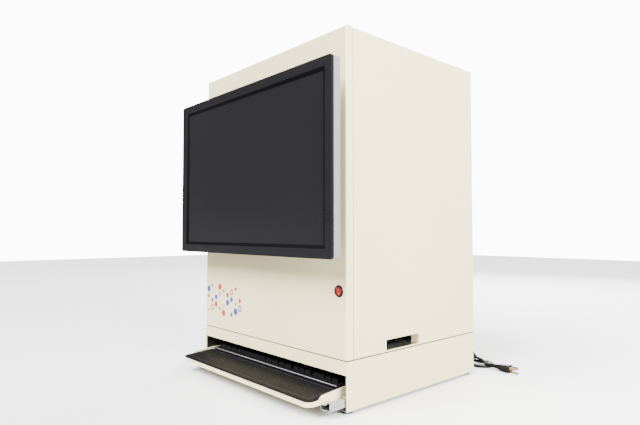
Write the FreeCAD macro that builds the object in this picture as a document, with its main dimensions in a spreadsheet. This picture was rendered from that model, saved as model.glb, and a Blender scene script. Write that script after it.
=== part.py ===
import FreeCAD, Part
import Sketcher
import math
import os
import re

# Bench analyzer for stained well plates: a sheet-steel cabinet on a plinth with a keyboard drawer,
# a flat monitor on the front, a plate slot in the right side and a camera stage inside.
# X runs to the right seen from the front, Y to the rear, Z up. The origin lies on the table under
# the middle of the cabinet, its monitor and its part-open drawer. All sizes are in millimetres.

Vector = FreeCAD.Vector
Rotation = FreeCAD.Rotation
doc = FreeCAD.newDocument("elispot_analyzer")

# Driving sizes
SIZES = [
    # Cabinet shells
    ("cab_width", 515), ("cab_depth", 431), ("base_height", 91.5), ("shell_height", 632),
    ("seam_gap", 2.5), ("gauge", 2), ("spare", 1), ("deck_gauge", 2.5), ("bend_radius", 3.5),
    ("return_depth", 17.5), ("panel_seam", 1.2),
    ("rail_height", 25), ("rail_return", 12), ("floor_lip", 6), ("lip_clear", 2),
    ("foot_height", 6), ("foot_radius", 13), ("foot_inset", 17), ("foot_taper", 1.5),
    ("gasket_inset", 1.5), ("gasket_width", 12),
    ("post_leg", 20), ("post_lip", 8), ("post_gauge", 2), ("shelf_rise", 327), ("shelf_flange", 15),
    # Plate slot in the right side
    ("slot_front", 111.7), ("slot_length", 104.3), ("slot_rise", 21),
    ("sleeve_depth", 18), ("sleeve_gauge", 1.5), ("sleeve_flange", 8),
    # Rear panel
    ("vent_length", 70), ("vent_width", 4), ("vent_pitch", 11), ("vent_count", 11),
    ("vent_rise", 150), ("vent_middle", 120),
    ("port_width", 170), ("port_height", 46), ("port_middle", -20), ("port_rise", 12),
    ("screw_head", 4), ("screw_rise", 2), ("screw_inset", 9),
    # Monitor
    ("mon_width", 560), ("mon_height", 367.5), ("mon_rise", 284), ("mon_reach", 59),
    ("bezel_depth", 5), ("bezel_side", 20), ("bezel_top", 18), ("mon_corner", 6), ("bezel_bevel", 1.6),
    ("rim_depth", 16), ("screen_depth", 8), ("screen_lap", 2.5), ("bulge_depth", 28),
    ("bulge_root_w", 470), ("bulge_root_h", 290), ("bulge_back_w", 250), ("bulge_back_h", 190),
    ("vesa_side", 118), ("vesa_corner", 6),
    ("key_cap_w", 7.4), ("key_cap_h", 4.8), ("cap_proud", 0.8), ("cap_clear", 0.3), ("cap_flange", 1.2),
    ("cap_flange_depth", 1.5), ("cap_travel", 1), ("caps_from_edge", 11.5), ("power_cap_rise", 356),
    ("menu_cap_rise", 368),
    # Mains switch
    ("rocker_x", 236.9), ("rocker_rise", 221), ("switch_rim", 11.75), ("rim_bevel", 1), ("switch_rim_depth", 2),
    ("switch_barrel", 10), ("switch_depth", 22), ("rocker_bore", 8.7), ("rocker_bore_depth", 12),
    ("rocker_radius", 8), ("rocker_thick", 4.6), ("rocker_dish", 1.1), ("rocker_sink", 3.4),
    ("rocker_tilt", 8), ("pin_radius", 1), ("pin_clear", 0.06), ("pin_wall", 0.5),
    # Keyboard drawer
    ("drawer_reach", 76), ("drawer_shift", 84), ("tray_width", 472), ("tray_depth", 240),
    ("tray_gauge", 1.5), ("tray_under", 19), ("lip_height", 9), ("tray_corner", 15),
    ("wall_height", 21), ("wall_slope_start", 25), ("wall_step", 33), ("wall_level", 86),
    ("wall_step_height", 16),
    ("slide_length", 250), ("slide_height", 20), ("slide_steel", 1.2), ("slide_mid_rise", 16.7), ("slide_set_back", 30),
    ("slide_lip", 12), ("ball_gap", 1.2), ("run_clear", 0.15), ("slide_step", 0.9), ("groove_height", 2.6),
    ("groove_depth", 0.7),
    ("palm_clear", 0.6), ("palm_depth", 79), ("palm_front", 9.4), ("palm_rear", 17), ("palm_roll", 3.5),
    # Keyboard
    ("keyb_width", 454), ("keyb_depth", 150), ("keyb_front", 18), ("keyb_tilt", 6), ("keyb_gap", 1),
    ("keyb_corner", 5), ("key_pitch", 19.05), ("key_gap", 0.85), ("key_height", 9), ("key_sink", 1),
    ("key_travel", 3.5), ("key_taper", 15), ("key_margin", 12), ("row_gap", 8), ("well_spare", 1),
    # Computer, supply and fan
    ("pc_width", 400), ("pc_depth", 330), ("pc_height", 190), ("pc_bend", 2), ("pc_gauge", 1.2),
    ("port_lap", 4),
    ("psu_width", 160), ("psu_depth", 85), ("psu_height", 50), ("psu_middle", -160),
    ("terminal_step", 18), ("terminal_wall", 6), ("terminal_drop", 22),
    ("fan_size", 92), ("fan_depth", 25), ("fan_middle", -150), ("fan_rise", 300), ("fan_bore", 44),
    ("fan_hub", 16), ("fan_tip_clear", 2), ("fan_corner", 4), ("blade_count", 7), ("blade_thick", 1.8),
    ("blade_root", 3), ("blade_inset", 1), ("blade_rise", 6), ("fan_strut", 4), ("fan_play", 0.4),
    ("spindle", 2),
    ("guard_wire", 1), ("guard_inner", 14), ("guard_ring", 14), ("guard_rings", 3),
    # Mains inlet and cord
    ("inlet_x", 168), ("inlet_rise", 130), ("inlet_width", 27), ("inlet_height", 19.5),
    ("inlet_depth", 22), ("inlet_flange", 2.5), ("inlet_ears", 50), ("inlet_corner", 5), ("inlet_flange_h", 24),
    ("socket_width", 24.2), ("socket_height", 16.4), ("socket_depth", 16), ("plug_fit", 0.3),
    ("connector_length", 26), ("connector_width", 27), ("connector_height", 20), ("relief_length", 28),
    ("relief_root", 6), ("cord_radius", 3.25),
    ("relief_tip", 3.75), ("nose_edge", 1), ("connector_edge", 3),
    ("hank_right", 256), ("hank_straight", 122), ("hank_fold", 19.5), ("hank_turns", 2),
    ("hank_layers", 2), ("hank_from_rear", 51), ("hank_entry", 231), ("hank_lap", 10), ("hank_tail", 6),
    ("tie_width", 8), ("tie_thick", 1.2), ("tie_reach", 15),
    ("plug_length", 30), ("plug_width", 24), ("plug_height", 18), ("plug_relief", 22),
    ("plug_edge", 4), ("plug_from_hank", 16.25), ("blade_lift", 3),
    ("blade_length", 17), ("blade_wide", 6.3), ("blade_gauge", 1.5), ("blade_apart", 12.7),
    ("earth_radius", 2.4), ("earth_length", 20), ("earth_drop", 9.5),
    # Plate stage
    ("stage_rail_front", 232), ("stage_rail_apart", 56), ("rail_width", 7), ("rail_rise", 5),
    ("rail_length", 450), ("block_height", 8), ("block_width", 17), ("block_length", 24),
    ("block_clear", 0.1), ("carrier_gauge", 5), ("carrier_drop", 6.2),
    ("nest_length", 136), ("nest_width", 96), ("plate_length", 128.2), ("plate_width", 86),
    ("nest_ledge", 1.5), ("nest_lip", 5), ("plate_x", 60), ("plate_y", 163.8),
    ("carriage_length", 70), ("arm_length", 40),
    ("screw_radius", 4), ("screw_clear", 0.1), ("stage_screw_y", 260), ("stage_screw_rise", 33),
    ("nut_width", 22), ("nut_top", 8), ("motor_side", 35), ("motor_length", 34), ("motor_plate", 6),
    ("motor_chamfer", 4),
    ("stage_screw_left", 206), ("stage_screw_right", 232), ("bearing_thick", 8),
    # Camera stand and focus
    ("pillar_half", 8), ("beam_half", 62), ("beam_width", 24), ("beam_height", 10), ("beam_rise", 180),
    ("beam_front", 70), ("beam_back", 330), ("pillar_front", 92), ("pillar_back", 318),
    ("cross_rail_front", 82), ("cross_rail_length", 236),
    ("cross_length", 90), ("cross_gauge", 8), ("lens_hole", 30),
    ("cross_screw_x", -42), ("cross_screw_rise", 22), ("cross_nut_reach", 14),
    ("column_width", 90), ("column_thick", 12), ("column_height", 168), ("gusset", 40),
    ("focus_height", 90), ("focus_width", 60), ("focus_thick", 10),
    ("focus_rise", 250), ("clamp_height", 16), ("clamp_wall", 8), ("clamp_bridge", 24), ("dovetail", 0.3),
    ("lens_radius", 20), ("lens_front", 15), ("lens_low", 150), ("lens_height", 150), ("lens_neck", 20), ("lens_slope", 8),
    ("lens_tail", 20),
    ("light_radius", 35), ("light_height", 14), ("light_low", 132), ("light_bore", 12),
    ("collar_radius", 20), ("collar_height", 19),
    ("camera_side", 44), ("camera_height", 78), ("camera_bend", 3),
    ("focus_motor_side", 28), ("focus_motor_length", 30),
]

# Places worked out from the sizes
PLACES = [
    ("front_y", "0 - (cab_depth + guard_reach - drawer_reach) / 2"),
    ("guard_reach", "3.4 * guard_wire"),
    ("rear_y", "front_y + cab_depth"),
    ("side_x", "cab_width / 2"),
    ("wall_x", "side_x - gauge"),
    ("base_top", "foot_height + base_height"),
    ("floor_top", "foot_height + gauge"),
    ("bay_top", "base_top - rail_height"),
    ("shell_z", "base_top + seam_gap"),
    ("deck_top", "shell_z + deck_gauge"),
    ("cab_top", "shell_z + shell_height"),
    ("roof_z", "cab_top - gauge"),
    ("wrap_y", "front_y + return_depth + panel_seam"),
    ("panel_y", "rear_y - gauge"),
    ("slot_y0", "front_y + slot_front"),
    ("slot_y1", "slot_y0 + slot_length"),
    ("slot_top", "deck_top + slot_rise"),
    ("shelf_z", "deck_top + shelf_rise"),
    ("bezel_y", "front_y - mon_reach"),
    ("case_y", "bezel_y + bezel_depth"),
    ("rim_y", "case_y + rim_depth"),
    ("bulge_y", "rim_y + bulge_depth"),
    ("mon_z0", "foot_height + mon_rise"),
    ("mon_z1", "mon_z0 + mon_height"),
    ("mon_mid_z", "mon_z0 + mon_height / 2"),
    ("screen_x", "mon_width / 2 - bezel_side"),
    ("caps_x", "mon_width / 2 - caps_from_edge"),
    ("switch_z", "foot_height + rocker_rise"),
    ("pivot_y", "front_y - switch_rim_depth + rocker_sink"),
    ("tray_x", "tray_width / 2"),
    ("tray_in_x", "tray_x - tray_gauge"),
    ("tray_y0", "front_y - drawer_reach"),
    ("tray_y1", "tray_y0 + tray_depth"),
    ("tray_z", "foot_height + tray_under"),
    ("tray_floor", "tray_z + tray_gauge"),
    ("slide_z", "foot_height + slide_mid_rise"),
    ("slide_y", "front_y + gauge + slide_step"),
    ("mid_y", "slide_y - drawer_shift / 2"),
    ("inner_y", "tray_y0 + slide_set_back"),
    ("inner_length", "slide_y + slide_length - drawer_shift - inner_y"),
    ("outer_half", "slide_height / 2"),
    ("mid_half", "outer_half - slide_steel - ball_gap"),
    ("inner_half", "mid_half - slide_steel - ball_gap"),
    ("mid_web_x", "wall_x - slide_steel - slide_step"),
    ("keyb_y", "tray_y0 + tray_gauge + palm_clear + palm_depth + keyb_gap"),
    ("keys_left", "0 - 22.5 * key_pitch / 2"),
    ("fan_z", "foot_height + fan_rise"),
    ("rotor_depth", "fan_depth - 2 * fan_strut"),
    ("inlet_z", "foot_height + inlet_rise"),
    ("hank_y0", "rear_y + hank_from_rear"),
    ("hank_half", "hank_fold + (2 * hank_turns - 1) * cord_radius"),
    ("hank_y1", "hank_y0 + 2 * hank_half"),
    ("hank_height", "2 * cord_radius * hank_layers"),
    ("hank_x1", "hank_right - hank_half"),
    ("hank_x0", "hank_x1 - hank_straight"),
    ("plate_cy", "front_y + plate_y"),
    ("block_top", "deck_top + block_height"),
    ("carrier_top", "block_top + carrier_gauge"),
    ("nest_z", "block_top - carrier_drop"),
    ("nest_left", "plate_x - nest_length / 2"),
    ("stage_rail_y", "front_y + stage_rail_front"),
    ("stage_y", "front_y + stage_screw_y"),
    ("stage_z", "deck_top + stage_screw_rise"),
    ("stand_z", "foot_height + beam_rise"),
    ("beam_top", "stand_z + beam_height"),
    ("cross_z", "beam_top + block_height"),
    ("cross_top", "cross_z + cross_gauge"),
    ("cross_screw_z", "beam_top + cross_screw_rise"),
    ("column_y", "plate_cy + cross_length / 2 - column_thick"),
    ("focus_z", "foot_height + focus_rise"),
    ("lens_z", "foot_height + lens_low"),
    ("lens_top", "lens_z + lens_height"),
]

dim = doc.addObject("Spreadsheet::Sheet", "dim")
for row, (alias, number) in enumerate(SIZES, start=1):
    dim.set("A%d" % row, alias)
    dim.set("B%d" % row, str(number))
    dim.setAlias("B%d" % row, alias)

SIZE_NAMES = {alias for alias, number in SIZES}
PLACE_NAMES = {alias for alias, formula in PLACES}


def ex(text):
    """An expression on the sheets, from one written with the bare names of sizes and places."""
    def sheet_name(match):
        word = match.group(0)
        if word in SIZE_NAMES:
            return "dim." + word
        if word in PLACE_NAMES:
            return "at." + word
        return word
    return re.sub(r"[a-z_][a-z0-9_]*", sheet_name, str(text))


at = doc.addObject("Spreadsheet::Sheet", "at")
for row, (alias, formula) in enumerate(PLACES, start=1):
    at.set("A%d" % row, alias)
    at.setAlias("B%d" % row, alias)
for row, (alias, formula) in enumerate(PLACES, start=1):
    at.set("B%d" % row, "=" + ex(formula))
doc.recompute()


def val(name):
    """The number behind a size or a place."""
    sheet = dim if name in SIZE_NAMES else at
    return float(sheet.get(name))


NODES = []


def node(piece, label):
    """Give a finished piece its own label, under which it is written."""
    shown = piece.body if isinstance(piece, Piece) else piece
    shown.Label = label
    NODES.append(shown)
    return shown


class Drawing:
    """A sketch on one of its piece's origin planes, moved along that plane's axis."""

    FACES_PLUS = {"XY_Plane": True, "XZ_Plane": False, "YZ_Plane": True}

    def __init__(self, body, plane, where):
        self.plane = plane
        self.sketch = body.newObject("Sketcher::SketchObject", body.Name + "_sketch")
        origin_plane = next(f for f in body.Origin.OriginFeatures if f.Role == plane)
        self.sketch.AttachmentSupport = [(origin_plane, "")]
        self.sketch.MapMode = "FlatFace"
        sign = "" if self.FACES_PLUS[plane] else "-"
        self.sketch.setExpression("AttachmentOffset.Base.z", ex("%s(%s)" % (sign, where)))

    def fix(self, geometry, point, x, y, start):
        for kind, expression, value in (("DistanceX", x, start.x), ("DistanceY", y, start.y)):
            index = self.sketch.addConstraint(
                Sketcher.Constraint(kind, -1, 1, geometry, point, value))
            self.sketch.setExpression("Constraints[%d]" % index, ex(expression))

    def polygon(self, *corners):
        """A closed outline through corners, each a pair of expressions."""
        count = len(corners)
        first = self.sketch.GeometryCount
        turn = 2 * math.pi / count
        ring = [Vector(math.cos(turn * i + 1), math.sin(turn * i + 1), 0) for i in range(count)]
        self.sketch.addGeometry(
            [Part.LineSegment(ring[i], ring[(i + 1) % count]) for i in range(count)])
        self.sketch.addConstraint(
            [Sketcher.Constraint("Coincident", first + i, 2, first + (i + 1) % count, 1)
             for i in range(count)])
        for i, (x, y) in enumerate(corners):
            self.fix(first + i, 1, x, y, ring[i])
        return self

    def rect(self, x, y):
        """A rectangle from x[0] to x[1] and from y[0] to y[1]."""
        return self.polygon((x[0], y[0]), (x[1], y[0]), (x[1], y[1]), (x[0], y[1]))

    def circle(self, x, y, radius):
        index = self.sketch.addGeometry(Part.Circle(Vector(1, 1, 0), Vector(0, 0, 1), 1))
        self.fix(index, 3, x, y, Vector(1, 1, 0))
        size = self.sketch.addConstraint(Sketcher.Constraint("Radius", index, 1.0))
        self.sketch.setExpression("Constraints[%d]" % size, ex(radius))
        return self


class Piece:
    """A body of features. Lengths run towards plus on the sketch's axis unless told otherwise."""

    def __init__(self, name):
        self.body = doc.addObject("PartDesign::Body", name)

    def draw(self, plane, where="0"):
        return Drawing(self.body, plane, where)

    def pad(self, drawing, length, forward=True):
        feature = self.body.newObject("PartDesign::Pad", self.body.Name + "_pad")
        feature.Profile = drawing.sketch
        feature.Reversed = Drawing.FACES_PLUS[drawing.plane] != forward
        feature.setExpression("Length", ex(length))
        return self

    def pocket(self, drawing, length, forward=True):
        feature = self.body.newObject("PartDesign::Pocket", self.body.Name + "_pocket")
        feature.Profile = drawing.sketch
        feature.Reversed = Drawing.FACES_PLUS[drawing.plane] == forward
        feature.setExpression("Length", ex(length))
        return self

    def loft(self, first, second):
        feature = self.body.newObject("PartDesign::AdditiveLoft", self.body.Name + "_loft")
        feature.Profile = first.sketch
        feature.Sections = [second.sketch]
        return self

    def revolve(self, drawing, axis_role):
        feature = self.body.newObject("PartDesign::Revolution", self.body.Name + "_turned")
        feature.Profile = drawing.sketch
        axis = next(f for f in self.body.Origin.OriginFeatures if f.Role == axis_role)
        feature.ReferenceAxis = (axis, [""])
        feature.Angle = 360
        return self

    def dress(self, kind, size_property, size, wanted):
        """A fillet or chamfer on each edge that the test wants."""
        doc.recompute()
        tip = self.body.Tip
        names = ["Edge%d" % (i + 1) for i, edge in enumerate(tip.Shape.Edges) if wanted(edge)]
        if not names:
            raise ValueError("no edge to dress on " + self.body.Name)
        feature = self.body.newObject(kind, self.body.Name + "_edge")
        feature.Base = (tip, names)
        feature.setExpression(size_property, ex(size))
        self.body.Tip = feature
        return self

    def fillet(self, radius, wanted):
        return self.dress("PartDesign::Fillet", "Radius", radius, wanted)

    def chamfer(self, size, wanted):
        return self.dress("PartDesign::Chamfer", "Size", size, wanted)

    def hollow(self, wall, open_face):
        """Leave walls inside the outline, open on the face that the test wants."""
        doc.recompute()
        tip = self.body.Tip
        names = ["Face%d" % (i + 1) for i, face in enumerate(tip.Shape.Faces) if open_face(face)]
        feature = self.body.newObject("PartDesign::Thickness", self.body.Name + "_hollow")
        feature.Base = (tip, names)
        feature.Reversed = True
        feature.setExpression("Value", ex(wall))
        self.body.Tip = feature
        return self

    def ring(self, axis_role, count):
        """Repeat the last feature all round an origin axis."""
        doc.recompute()
        feature = self.body.newObject("PartDesign::PolarPattern", self.body.Name + "_ring")
        feature.Originals = [self.body.Tip]
        axis = next(f for f in self.body.Origin.OriginFeatures if f.Role == axis_role)
        feature.Axis = (axis, [""])
        feature.Angle = 360
        feature.setExpression("Occurrences", ex(count))
        self.body.Tip = feature
        return self

    def row(self, axis_role, spacing, count):
        """Repeat the last feature along an origin axis."""
        doc.recompute()
        feature = self.body.newObject("PartDesign::LinearPattern", self.body.Name + "_row")
        feature.Originals = [self.body.Tip]
        axis = next(f for f in self.body.Origin.OriginFeatures if f.Role == axis_role)
        feature.Direction = (axis, [""])
        feature.setExpression("Length", ex("(%s) * ((%s) - 1)" % (spacing, count)))
        feature.setExpression("Occurrences", ex(count))
        self.body.Tip = feature
        return self


NEAR = 0.01


def along(axis, **places):
    """An edge test: straight along axis, and at each named coordinate, whatever its sign for x."""
    def wanted(edge):
        if edge.Curve.TypeId != "Part::GeomLine":
            return False
        way = edge.Curve.Direction
        if abs(abs(getattr(way, axis)) - 1) > NEAR:
            return False
        middle = edge.BoundBox.Center
        return all(any(abs(getattr(middle, c) - p) < NEAR for p in spots)
                   for c, spots in places.items())
    return wanted


def both(number):
    return (number, -number)


def block(name, x, y, z):
    """A box between pairs of expressions."""
    box = doc.addObject("Part::Box", name)
    for size, (low, high), axis in (("Length", x, "x"), ("Width", y, "y"), ("Height", z, "z")):
        box.setExpression(size, ex("(%s) - (%s)" % (high, low)))
        box.setExpression("Placement.Base." + axis, ex(low))
    return box


TURN = {"x": Rotation(Vector(0, 1, 0), 90), "y": Rotation(Vector(1, 0, 0), -90), "z": Rotation()}


def stand_at(shape, x, y, z):
    for axis, place in (("x", x), ("y", y), ("z", z)):
        shape.setExpression("Placement.Base." + axis, ex(place))
    return shape


def rod(name, axis, x, y, z, radius, length):
    """A cylinder that starts at x, y, z and runs along plus axis."""
    cylinder = doc.addObject("Part::Cylinder", name)
    cylinder.Placement = FreeCAD.Placement(Vector(), TURN[axis])
    cylinder.setExpression("Radius", ex(radius))
    cylinder.setExpression("Height", ex(length))
    return stand_at(cylinder, x, y, z)


def cone(name, axis, x, y, z, low_radius, high_radius, length):
    tapered = doc.addObject("Part::Cone", name)
    tapered.Placement = FreeCAD.Placement(Vector(), TURN[axis])
    tapered.setExpression("Radius1", ex(low_radius))
    tapered.setExpression("Radius2", ex(high_radius))
    tapered.setExpression("Height", ex(length))
    return stand_at(tapered, x, y, z)


def solid_of(piece):
    return piece.body if isinstance(piece, Piece) else piece


def group(name, pieces):
    """Separate solids that share one node."""
    compound = doc.addObject("Part::Compound", name)
    compound.Links = [solid_of(p) for p in pieces]
    return compound


def fuse(name, pieces):
    union = doc.addObject("Part::MultiFuse", name)
    union.Shapes = [solid_of(p) for p in pieces]
    union.Refine = True
    return union


def cut(name, base, tools):
    difference = doc.addObject("Part::Cut", name)
    difference.Base = solid_of(base)
    difference.Tool = solid_of(tools[0]) if len(tools) == 1 else fuse(name + "_tools", tools)
    difference.Refine = True
    return difference


def common(name, first, second):
    shared = doc.addObject("Part::Common", name)
    shared.Base = solid_of(first)
    shared.Tool = solid_of(second)
    return shared


def mirrored(name, source):
    """The same piece on the other side of the cabinet's middle plane."""
    copy = doc.addObject("Part::Mirroring", name)
    copy.Source = solid_of(source)
    copy.Base = Vector(0, 0, 0)
    copy.Normal = Vector(1, 0, 0)
    return copy


SYM_WALL = ("-wall_x", "wall_x")
SYM_SIDE = ("-side_x", "side_x")


def make_base_shell():
    """Plinth: an inverted pan, open in front below its top rail, with the rail's edge turned in."""
    shell = Piece("base_shell")
    shell.pad(shell.draw("XY_Plane", "foot_height").rect(SYM_SIDE, ("front_y", "rear_y")), "base_height")
    shell.pocket(shell.draw("XY_Plane", "foot_height").rect(SYM_WALL, ("front_y + gauge", "panel_y")),
                 "base_height - gauge")
    shell.pocket(shell.draw("XZ_Plane", "front_y").rect(SYM_WALL, ("foot_height", "bay_top")), "gauge")
    shell.pad(shell.draw("XY_Plane", "bay_top").rect(SYM_WALL, ("front_y + gauge", "front_y + rail_return")),
              "gauge")
    shell.fillet("bend_radius", along("z", x=both(val("side_x")), y=(val("rear_y"),)))
    node(shell, "base_shell")


def make_base_floor():
    """Floor sheet between the plinth's walls, its front edge turned up between the drawer slides."""
    floor = Piece("base_floor")
    floor.pad(floor.draw("XY_Plane", "foot_height").rect(SYM_WALL, ("front_y", "panel_y")), "gauge")
    lip_x = "(mid_web_x - slide_lip - lip_clear)"
    floor.pad(floor.draw("XY_Plane", "floor_top").rect(("-" + lip_x, lip_x), ("front_y", "front_y + gauge")),
              "floor_lip - gauge")
    node(floor, "base_floor")


def make_feet():
    feet = []
    for side in ("-", ""):
        for y in ("front_y + foot_inset", "rear_y - foot_inset"):
            feet.append(cone("foot", "z", side + "(side_x - foot_inset)", y, "0",
                             "foot_radius - foot_taper", "foot_radius", "foot_height"))
    node(group("feet", feet), "base_feet")


def make_seam_gasket():
    """Four foam strips that leave the dark seam between plinth and cabinet."""
    z = ("base_top", "shell_z")
    outer = "side_x - gasket_inset"
    inner = "side_x - gasket_inset - gasket_width"
    run_y = ("front_y + gasket_inset", "rear_y - gasket_inset")
    strips = [
        block("strip", (outer + " - gasket_width", outer), run_y, z),
        block("strip", ("-(%s)" % outer, "-(%s)" % inner), run_y, z),
        block("strip", ("-(%s)" % inner, inner), (run_y[0], run_y[0] + " + gasket_width"), z),
        block("strip", ("-(%s)" % inner, inner), (run_y[1] + " - gasket_width", run_y[1]), z),
    ]
    node(group("gasket", strips), "seam_gasket")


def make_deck():
    deck = Piece("deck_plate")
    deck.pad(deck.draw("XY_Plane", "shell_z").rect(SYM_WALL, ("front_y + gauge", "panel_y")), "deck_gauge")
    node(deck, "deck_plate")


def make_posts():
    """Four corner angles that tie the panels together; the front ones leave room for the switch."""
    posts = []
    for sign in (1, -1):
        for rear in (False, True):
            post = Piece("post")
            x0 = "%d * wall_x" % sign
            x1 = "%d * (wall_x - post_gauge)" % sign
            x2 = "%d * (wall_x - %s)" % (sign, "post_leg" if rear else "post_lip")
            y0 = "panel_y" if rear else "front_y + gauge"
            step = "-" if rear else "+"
            y1 = "%s %s post_gauge" % (y0, step)
            y2 = "%s %s post_leg" % (y0, step)
            post.pad(post.draw("XY_Plane", "deck_top").polygon(
                (x0, y0), (x2, y0), (x2, y1), (x1, y1), (x1, y2), (x0, y2)), "roof_z - deck_top")
            posts.append(post)
    node(group("posts", posts), "chassis_posts")


def make_shelf():
    """Folded shelf between the posts, its flanges turned down."""
    shelf = Piece("computer_shelf")
    x = ("-(wall_x - post_gauge)", "wall_x - post_gauge")
    y0 = "front_y + gauge + post_leg"
    y1 = "panel_y - post_leg"
    shelf.pad(shelf.draw("YZ_Plane", x[0]).polygon(
        (y0, "shelf_z - shelf_flange"), (y0 + " + gauge", "shelf_z - shelf_flange"),
        (y0 + " + gauge", "shelf_z - gauge"), (y1 + " - gauge", "shelf_z - gauge"),
        (y1 + " - gauge", "shelf_z - shelf_flange"), (y1, "shelf_z - shelf_flange"),
        (y1, "shelf_z"), (y0, "shelf_z")), "2 * (wall_x - post_gauge)")
    node(shelf, "computer_shelf")


def make_cover_wrap():
    """Sides and top in one bent sheet, with the plate slot in the right side."""
    wrap = Piece("cover_wrap")
    wrap.pad(wrap.draw("XZ_Plane", "wrap_y").polygon(
        ("-side_x", "shell_z"), ("-wall_x", "shell_z"), ("-wall_x", "roof_z"), ("wall_x", "roof_z"),
        ("wall_x", "shell_z"), ("side_x", "shell_z"), ("side_x", "cab_top"), ("-side_x", "cab_top")),
        "rear_y - wrap_y")
    wrap.fillet("bend_radius", along("y", x=both(val("side_x")), z=(val("cab_top"),)))
    wrap.pocket(wrap.draw("YZ_Plane", "wall_x").rect(("slot_y0", "slot_y1"), ("deck_top", "slot_top")),
                "gauge")
    node(wrap, "cover_wrap")


def make_front_panel():
    """Pan with returns at both sides and the top, bent round its front edges."""
    panel = Piece("front_panel")
    panel.pad(panel.draw("XZ_Plane", "front_y").rect(SYM_SIDE, ("shell_z", "cab_top")), "return_depth")
    panel.pocket(panel.draw("XZ_Plane", "front_y + gauge").rect(SYM_WALL, ("shell_z", "roof_z")),
                 "return_depth - gauge")
    panel.fillet("bend_radius", lambda edge: (
        along("z", x=both(val("side_x")), y=(val("front_y"),))(edge)
        or along("x", y=(val("front_y"),), z=(val("cab_top"),))(edge)))
    panel.pocket(panel.draw("XZ_Plane", "front_y").circle("rocker_x", "switch_z", "switch_barrel + pin_clear"),
                 "gauge")
    node(panel, "front_panel")


def make_rear_panel():
    """Flat rear sheet with two louvre banks, a fan bore, a port window and the inlet's cut-out."""
    panel = Piece("rear_panel")
    panel.pad(panel.draw("XZ_Plane", "panel_y").rect(SYM_WALL, ("shell_z", "roof_z")), "gauge")
    panel.pocket(panel.draw("XZ_Plane", "panel_y")
                 .circle("fan_middle", "fan_z", "fan_bore")
                 .rect(("port_middle - port_width / 2", "port_middle + port_width / 2"),
                       ("shelf_z + port_rise", "shelf_z + port_rise + port_height"))
                 .rect(("inlet_x - inlet_width / 2", "inlet_x + inlet_width / 2"),
                       ("inlet_z - inlet_height / 2", "inlet_z + inlet_height / 2")), "gauge")
    for side in ("-", ""):
        middle = side + "vent_middle"
        panel.pocket(panel.draw("XZ_Plane", "panel_y").rect(
            (middle + " - vent_length / 2", middle + " + vent_length / 2"),
            ("roof_z - vent_rise", "roof_z - vent_rise + vent_width")), "gauge")
        panel.row("Z_Axis", "vent_pitch", "vent_count")
    node(panel, "rear_panel")


def make_slot_sleeve():
    """Jambs and lintel behind the plate slot; the deck is its sill."""
    sleeve = Piece("plate_slot_frame")
    legs = (("slot_y0 - sleeve_gauge", "deck_top"), ("slot_y0", "deck_top"), ("slot_y0", "slot_top"),
            ("slot_y1", "slot_top"), ("slot_y1", "deck_top"), ("slot_y1 + sleeve_gauge", "deck_top"),
            ("slot_y1 + sleeve_gauge", "slot_top + sleeve_gauge"),
            ("slot_y0 - sleeve_gauge", "slot_top + sleeve_gauge"))
    sleeve.pad(sleeve.draw("YZ_Plane", "wall_x - sleeve_depth").polygon(*legs), "sleeve_depth")
    brim = (("slot_y0 - sleeve_flange", "deck_top"), ("slot_y0", "deck_top"), ("slot_y0", "slot_top"),
            ("slot_y1", "slot_top"), ("slot_y1", "deck_top"), ("slot_y1 + sleeve_flange", "deck_top"),
            ("slot_y1 + sleeve_flange", "slot_top + sleeve_flange"),
            ("slot_y0 - sleeve_flange", "slot_top + sleeve_flange"))
    sleeve.pad(sleeve.draw("YZ_Plane", "wall_x - sleeve_gauge").polygon(*brim), "sleeve_gauge")
    node(sleeve, "plate_slot_frame")


def make_panel_screws():
    """Hexagon heads round the rear panel's edge."""
    heads = []
    edge_x = "(wall_x - screw_inset)"
    heights = ("shell_z + screw_inset", "(shell_z + cab_top) / 2", "roof_z - screw_inset")
    spots = [(side + edge_x, z) for side in ("-", "") for z in heights]
    spots += [("0", heights[0]), ("0", heights[2])]
    for x, z in spots:
        head = Piece("head")
        corners = [("%s + screw_head * cos(%ddeg)" % (x, a), "%s + screw_head * sin(%ddeg)" % (z, a))
                   for a in range(0, 360, 60)]
        heads.append(head.pad(head.draw("XZ_Plane", "rear_y").polygon(*corners), "screw_rise"))
    node(group("heads", heads), "panel_screws")


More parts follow.
